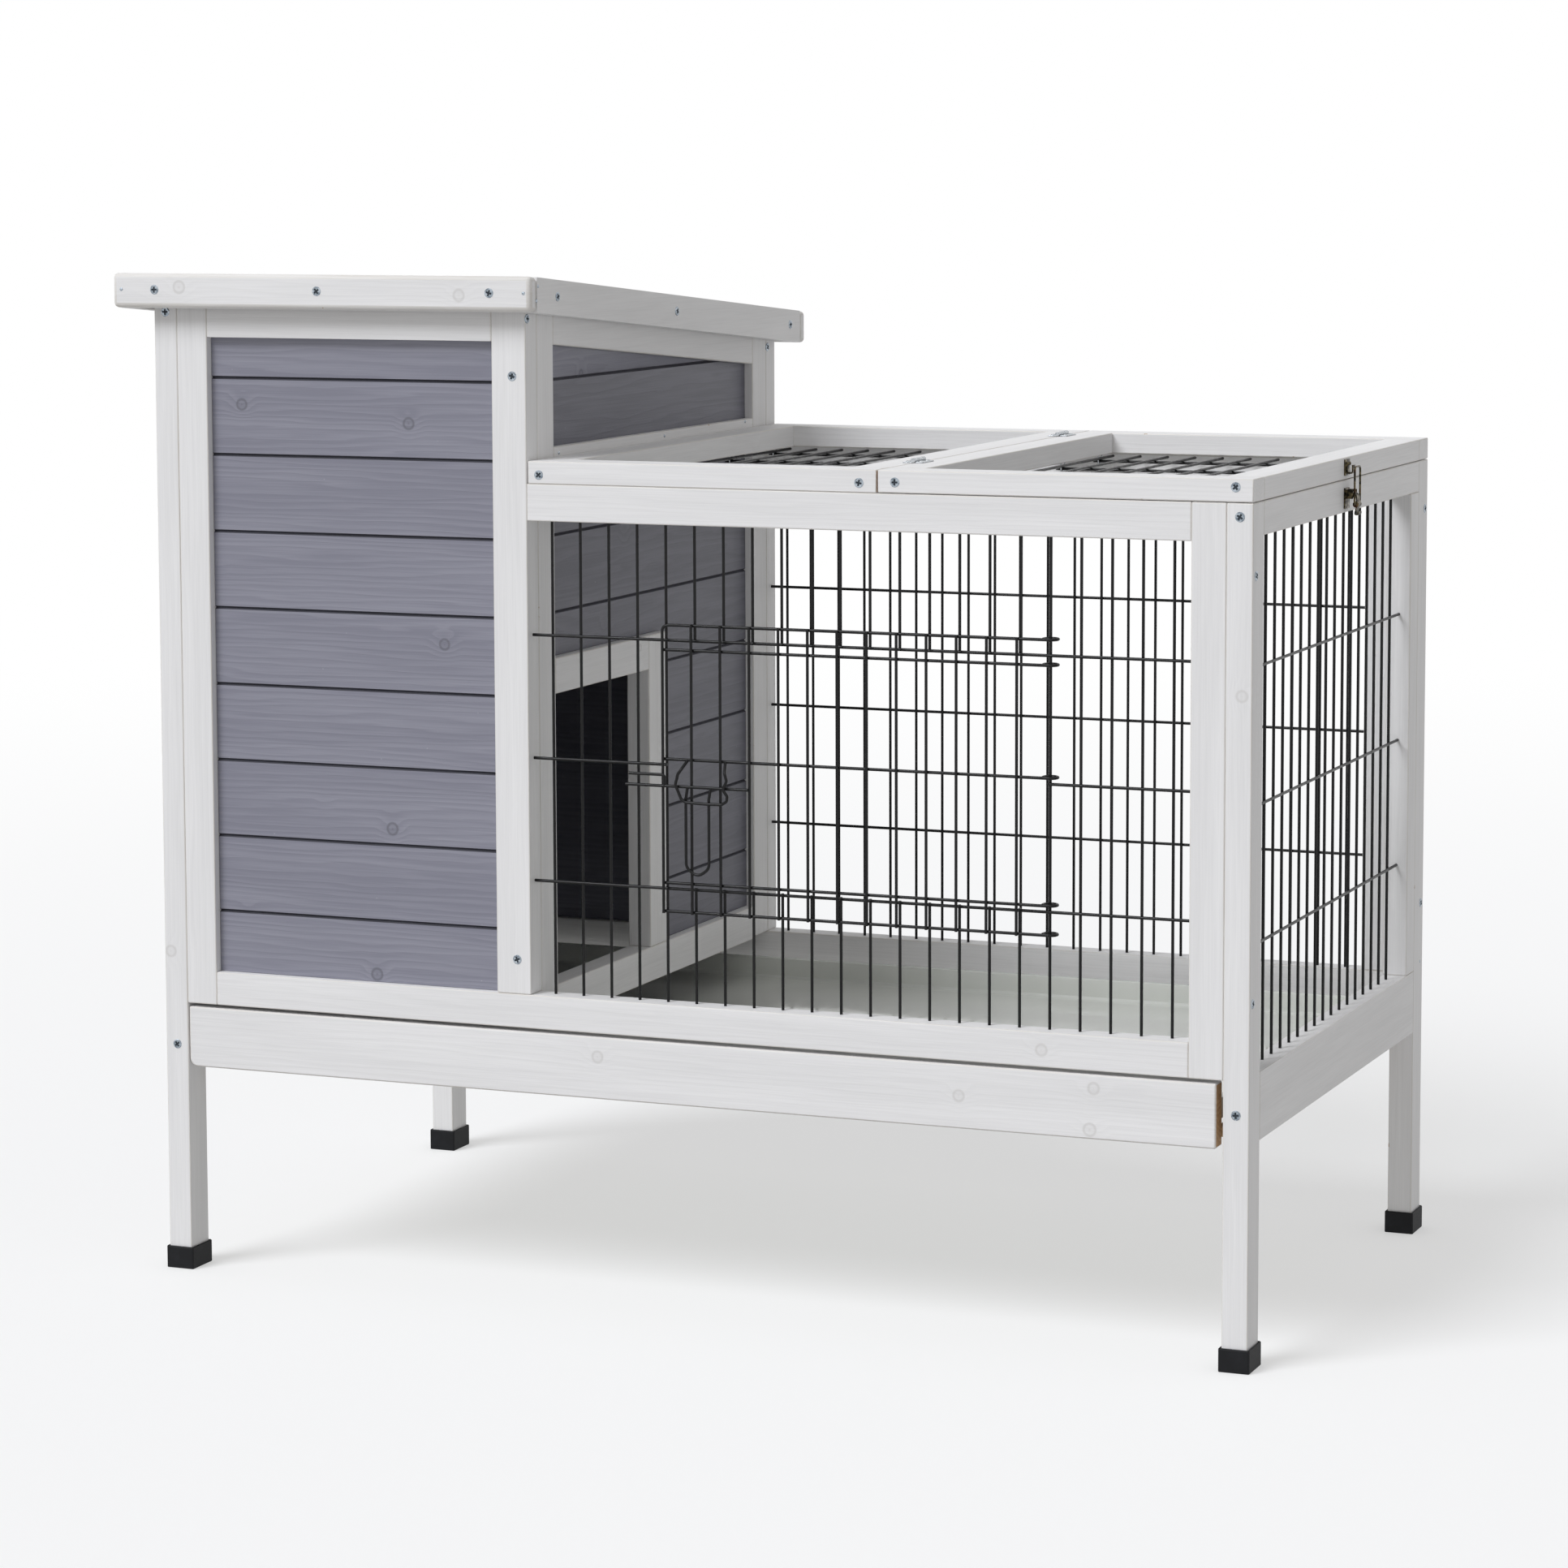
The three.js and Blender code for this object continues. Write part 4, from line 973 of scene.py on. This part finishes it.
def drawerBoard():
    low, high = box("tray_front_board")
    outline = [(low.x, low.z, drawer["wornCorner"]), (high.x, low.z, drawer["corner"]),
               (high.x, high.z, drawer["corner"]), (low.x, high.z, drawer["corner"])]
    points = []
    for x, z, radius in outline:
        centre = (x + (radius if x == low.x else -radius), z + (radius if z == low.z else -radius))
        quarter = {(True, True): 180, (False, True): 270, (False, False): 0, (True, False): 90}
        start = quarter[x == low.x, z == low.z]
        for step in range(drawer["cornerSteps"] + 1):
            angle = math.radians(start + 90 * step / drawer["cornerSteps"])
            points.append((centre[0] + radius * math.cos(angle), centre[1] + radius * math.sin(angle)))
    shape = bmesh.new()
    addRings(shape, [[(x, y, z) for x, z in points] for y in (low.y, high.y)])
    woodStick(meshPiece("drawer_board", shape), "x", "tray", ["tray_front_board"], (-1, 1), drawer["arris"])


# The pan is thin moulded plastic with a rolled rim and rounded corners. Each pair is how far in
# from the outside the skin lies, and how high above the underside (or below the rim).
pan = {
    "corner": 16, "cornerSteps": 6,
    "skin": [(9, 0), (5, 0.6), (3.2, 3), (2.6, -2.2), (0.4, -2.0), (0.0, -1.0), (0.5, -0.15), (1.5, -0.01),
             (4.6, -0.01), (5.2, -0.4), (5.6, -2), (6.2, 5), (8, 2.9), (13, 2.3)],
}


def trayPan():
    low, high = box("tray_pan")
    rings = []
    for inset, up in pan["skin"]:
        z = (high.z if up < 0 else low.z) + up
        radius = max(pan["corner"] - inset, 3)
        ring = []
        for number, (x, y) in enumerate(((high.x, high.y), (low.x, high.y), (low.x, low.y), (high.x, low.y))):
            centreX = x - math.copysign(inset + radius, x - middle("tray_pan").x)
            centreY = y - math.copysign(inset + radius, y - middle("tray_pan").y)
            for step in range(pan["cornerSteps"] + 1):
                angle = math.radians(90 * number + 90 * step / pan["cornerSteps"])
                ring.append((centreX + radius * math.cos(angle), centreY + radius * math.sin(angle), z))
        rings.append(ring)
    shape = bmesh.new()
    addRings(shape, rings)
    place(meshPiece("tray_pan_moulding", shape, 35), "tray", [trayGreen], "tray_plastic", ["tray_pan"])


drawerBoard()
trayPan()
print("tray made")


# Small draw latch: a catch plate with a hook on the lid, and on the wall a base with two ears that
# hold the lever, which carries the wire loop and ends in a curl for the finger.
latch = {
    "plate": 1.0, "edge": 0.35, "ear": 1.1, "strip": 1.0, "loopGauge": 1.6, "loopCorner": 3.5, "rivet": 1.5,
}


def latchPieces():
    thick, edge = latch["plate"], latch["edge"]
    axis = (0, 1, 0)

    low, high = box("lid_catch")
    y = middle("lid_catch").y
    shape = bmesh.new()
    addBlock(shape, low, (low.x + thick, high.y, high.z), edge, 3)
    lowest = (low.x, low.y + 2.2, low.z + 1.6)
    highest = (low.x + 2 * thick, high.y - 2.2, high.z - 1.6)
    addBlock(shape, lowest, highest, 0.9, 3)
    reach = high.x - latch["strip"] / 2
    hook = filleted([(low.x + 0.5, 0, low.z + 1.9), (reach, 0, low.z + 1.9), (reach, 0, low.z + 8.2)], 1.6)
    addStrip(shape, [(point.x, point.z) for point in hook], (y - 3.5, y + 3.5), latch["strip"])
    for side in (-1, 1):
        dome = [(0, 1.0), (0.8, 0.85), (1.4, 0.4), (latch["rivet"], 0), (latch["rivet"], -0.5)]
        addTurned(shape, dome, (low.x + 2 * thick, y + side * 2.6, high.z - 3.4), (1, 0, 0), 16)
    place(meshPiece("latch_catch", shape), "lid", [brassAged], "aged_brass", ["lid_catch"])

    low, high = box("latch_base")
    pinAt = (low.x + 5.5, high.z - 5.0)
    shape = bmesh.new()
    addBlock(shape, low, (low.x + thick, high.y, high.z), edge, 3)
    leverLow, leverHigh = box("latch_lever")
    for inner, sign in ((leverLow.y - 0.4, -1), (leverHigh.y + 0.4, 1)):
        ends = sorted((inner, inner + sign * latch["ear"]))
        addBlock(shape, (low.x + 0.2, ends[0], pinAt[1] - 3.2), (high.x, ends[1], high.z - 1.2), 0.45, 2)
    pin = [(0, low.y + 0.2), (1.2, low.y + 0.5), (1.2, high.y - 0.5), (0, high.y - 0.2)]
    addTurned(shape, pin, (pinAt[0], 0, pinAt[1]), axis, 14)
    place(meshPiece("latch_base_plate", shape), "hutch_frame", [brassAged], "aged_brass", ["latch_base"])

    low, high = leverLow, leverHigh
    loopAt = (pinAt[0] + 3.3, pinAt[1] - 7.5)
    shape = bmesh.new()
    ends = (low.y, high.y)
    barrel = [(1.6, ends[0]), (2.2, ends[0] + 0.4), (2.2, ends[1] - 0.4), (1.6, ends[1])]
    addTurned(shape, barrel, (pinAt[0], 0, pinAt[1]), axis, 20)
    eye = [(1.7, ends[0]), (2.4, ends[0] + 0.5), (2.4, ends[1] - 0.5), (1.7, ends[1])]
    addTurned(shape, eye, (loopAt[0], 0, loopAt[1]), axis, 20)
    x, z = pinAt
    route = [(x + 0.6, 0, z + 1.6), (x + 3.6, 0, z - 0.6), (x + 4.4, 0, z - 7.5), (x + 2.9, 0, z - 13.0),
             (x + 2.5, 0, low.z + 0.7), (x + 5.2, 0, low.z + 0.7), (x + 5.3, 0, low.z + 3.0)]
    tail = filleted(route, 2.2, 6)
    addStrip(shape, [(point.x, point.z) for point in tail], (ends[0] + 0.6, ends[1] - 0.6), latch["strip"])
    place(meshPiece("latch_lever_strip", shape), "latch_lever", [brassAged], "aged_brass", ["latch_lever"])

    low, high = box("latch_loop")
    gauge = latch["loopGauge"]
    x = (low.x + high.x) / 2
    y0, y1, z0, z1 = low.y + gauge / 2, high.y - gauge / 2, low.z + gauge / 2, high.z - gauge / 2
    half = (y0 + y1) / 2
    route = filleted([(x, half, z0), (x, y1, z0), (x, y1, z1), (x, y0, z1), (x, y0, z0), (x, half, z0)],
                     latch["loopCorner"], 6)[:-1]
    wirePiece("latch_loop_wire", [route], gauge, "latch_loop", brassAged, "aged_brass", ["latch_loop"],
              closed=(0,))


latchPieces()
print("latch made")


# Countersunk screws with a cross recess, and small nails, sizes in millimetres.
fixing = {
    "headWide": 7.4, "proud": 0.55, "rim": 0.45, "crossLong": 4.8, "crossWide": 1.5, "crossDeep": 0.45,
    "nailWide": 2.8, "nailProud": 0.5, "cloutWide": 8.0, "sides": 20,
}
# Node, side, then along and up.
screwPlaces = {
    "hutch_frame": [
        ("front_left_post", "-y", 0, -19), ("front_left_post", "-y", 0, 179),
        ("front_middle_stile", "-y", 3, -65), ("front_middle_stile", "-y", 3, 27),
        ("front_right_post", "-y", 0, -10), ("front_right_post", "-y", 0, 188),
        ("fixed_top_frame", "-y", -133.5, 7), ("fixed_top_frame", "-y", 129, 7.4),
        ("front_right_post", "+x", -5.5, -53), ("front_right_post", "+x", -6.8, 270),
        ("back_right_post", "+x", 6, -40), ("back_right_post", "+x", 6, 270),
        ("front_middle_stile", "+x", -6.7, -21), ("back_middle_stile", "+x", -6.7, -23),
        ("back_left_post", "+y", 0, -22), ("back_left_post", "+y", 0, 179),
        ("back_middle_stile", "+y", -3, -65), ("back_middle_stile", "+y", -3, 27),
        ("back_right_post", "+y", 0, -10), ("back_right_post", "+y", 0, 188),
        ("fixed_top_frame", "+y", -133.5, 7), ("fixed_top_frame", "+y", 129, 7.4),
        ("front_left_post", "-x", 0, -53), ("front_left_post", "-x", 0, 270),
        ("back_left_post", "-x", 0, -53), ("back_left_post", "-x", 0, 270),
    ],
    "lid": [("lid_frame", "-y", -131, 8), ("lid_frame", "-y", 131.4, 11), ("lid_frame", "+y", -131, 8),
            ("lid_frame", "+y", 131.4, 8)],
    "roof": [
        ("roof_fascia", "-y", -144, -13), ("roof_fascia", "-y", -1, -13), ("roof_fascia", "-y", 146.5, -13),
        ("roof_fascia", "+x", -230, -17), ("roof_fascia", "+x", 0, -36), ("roof_fascia", "+x", 245, -56),
        ("roof_fascia", "-x", -230, -17), ("roof_fascia", "-x", 0, -36), ("roof_fascia", "-x", 245, -56),
        ("roof_fascia", "+y", -144, -58), ("roof_fascia", "+y", -1, -58), ("roof_fascia", "+y", 146.5, -58),
    ],
}
nailPlaces = {
    "hutch_frame": [
        ("divider_middle_batten", "+x", -192, 23), ("divider_middle_batten", "+x", 12.8, 24),
        ("divider_middle_batten", "+x", 184, 26), ("back_right_post", "+x", 6, 221),
    ],
    "roof": [
        ("roof_fascia", "-y", -173.6, -13), ("roof_fascia", "-y", 175.4, -13),
        ("roof_fascia", "+x", -265, -8),
        ("roof_fascia", "+x", -268, -19), ("roof_fascia", "-x", -265, -8), ("roof_fascia", "-x", -268, -19),
    ],
}


def addScrew(shape, at, outward, turn):
    facing = outward.to_track_quat("Z", "Y").to_matrix() @ Matrix.Rotation(math.radians(turn), 3, "Z")

    def ring(points, up):
        return [shape.verts.new(at + facing @ Vector((x, y, up))) for x, y in points]

    def circle(radius):
        sides = fixing["sides"]
        return [(radius * math.cos(math.tau * step / sides), radius * math.sin(math.tau * step / sides))
                for step in range(sides)]

    def cross(scale):
        long, wide = fixing["crossLong"] / 2 * scale, fixing["crossWide"] / 2 * scale
        return [(long, -wide), (long, wide), (wide, wide), (wide, long), (-wide, long), (-wide, wide),
                (-long, wide), (-long, -wide), (-wide, -wide), (-wide, -long), (wide, -long), (wide, -wide)]

    radius, proud = fixing["headWide"] / 2, fixing["proud"]
    foot = ring(circle(radius), -0.4)
    edge = ring(circle(radius), proud - fixing["rim"])
    crown = ring(circle(radius - fixing["rim"]), proud)
    mouth = ring(cross(1.0), proud)
    bottom = ring(cross(0.8), proud - fixing["crossDeep"])
    shape.faces.new(reversed(foot))
    for lower, upper in ((foot, edge), (edge, crown), (mouth, bottom)):
        for step in range(len(lower)):
            ahead = (step + 1) % len(lower)
            face = shape.faces.new((lower[step], lower[ahead], upper[ahead], upper[step]))
            # the recess takes the dark second material: dirt and painted shade
            face.material_index = 1 if lower is mouth else 0
    shape.faces.new(bottom).material_index = 1
    loops = [shape.edges.get((ring[step], ring[(step + 1) % len(ring)])) for ring in (crown, mouth)
             for step in range(len(ring))]
    bmesh.ops.triangle_fill(shape, use_beauty=True, edges=loops, normal=outward)


def addNail(shape, at, outward, wide):
    radius, proud = wide / 2, fixing["nailProud"]
    dome = [(0, proud), (radius * 0.6, proud * 0.85), (radius * 0.92, proud * 0.4), (radius, 0),
            (radius, -0.4)]
    addTurned(shape, dome, at, outward, 14)


def fixings():
    for body, places in screwPlaces.items():
        shape = bmesh.new()
        for number, spot in enumerate(places):
            addScrew(shape, *onSide(*spot), 37 * number)
        place(meshPiece(body + "_screws", shape), body, [zincScrew, grimeAndShadeDark], "zinc_plate")
    for body, places in nailPlaces.items():
        shape = bmesh.new()
        for spot in places:
            addNail(shape, *onSide(*spot), fixing["nailWide"])
        place(meshPiece(body + "_nails", shape), body, [zincScrew], "zinc_plate")


# Clout nails hold the felt down along its four edges.
def feltNails():
    low, high = box("roof_deck")
    corners = [vertex.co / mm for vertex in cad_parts["roof_deck"].data.vertices]
    front = max(corner.z for corner in corners if corner.y < 0)
    back = max(corner.z for corner in corners if corner.y > 0)
    fall = (back - front) / (high.y - low.y)
    outward = Vector((0, -fall, 1)).normalized()
    inset, spacing = roof["nailIn"], roof["nailSpacing"]

    def spread(start, stop):
        count = round((stop - start) / spacing)
        return [start + (stop - start) * step / count for step in range(count + 1)]

    spots = [(x, y) for x in spread(low.x + inset, high.x - inset) for y in (low.y + inset, high.y - inset)]
    for y in spread(low.y + inset, high.y - inset)[1:-1]:
        spots += [(x, y) for x in (low.x + inset, high.x - inset)]
    shape = bmesh.new()
    for x, y in spots:
        addNail(shape, Vector((x, y, front + fall * (y - low.y))), outward, fixing["cloutWide"])
    place(meshPiece("felt_clout_nails", shape), "roof", [zincScrew], "zinc_plate")


# Staples over the cross wires hold the top meshes under their frames.
staple = {"gauge": 1.1, "half": 4.5, "fromEdge": 5.5}


def stapleRows(name, meshNode, frameNode, body):
    low, high = box(meshNode)
    frameLow = box(frameNode)[0]
    crown = low.z - staple["gauge"] / 2
    steps = math.floor((high.y - low.y) / 2 / mesh["crossPitch"])
    routes = []
    for x in (low.x + staple["fromEdge"], high.x - staple["fromEdge"]):
        for step in range(-steps, steps + 1):
            y = middle(meshNode).y + step * mesh["crossPitch"]
            legs = [(x, y - staple["half"], frameLow.z + 1), (x, y - staple["half"], crown),
                    (x, y + staple["half"], crown), (x, y + staple["half"], frameLow.z + 1)]
            routes.append(filleted(legs, 0.8, 3))
    wirePiece(name, routes, staple["gauge"], body, zincHinge, "zinc_plate")


fixings()
feltNails()
stapleRows("fixed_top_staples", "fixed_top_wire", "fixed_top_frame", "hutch_frame")
stapleRows("lid_staples", "lid_wire", "lid_frame", "lid")
print("screws, nails and staples made; nodes without a finish:", sorted(leftOver))
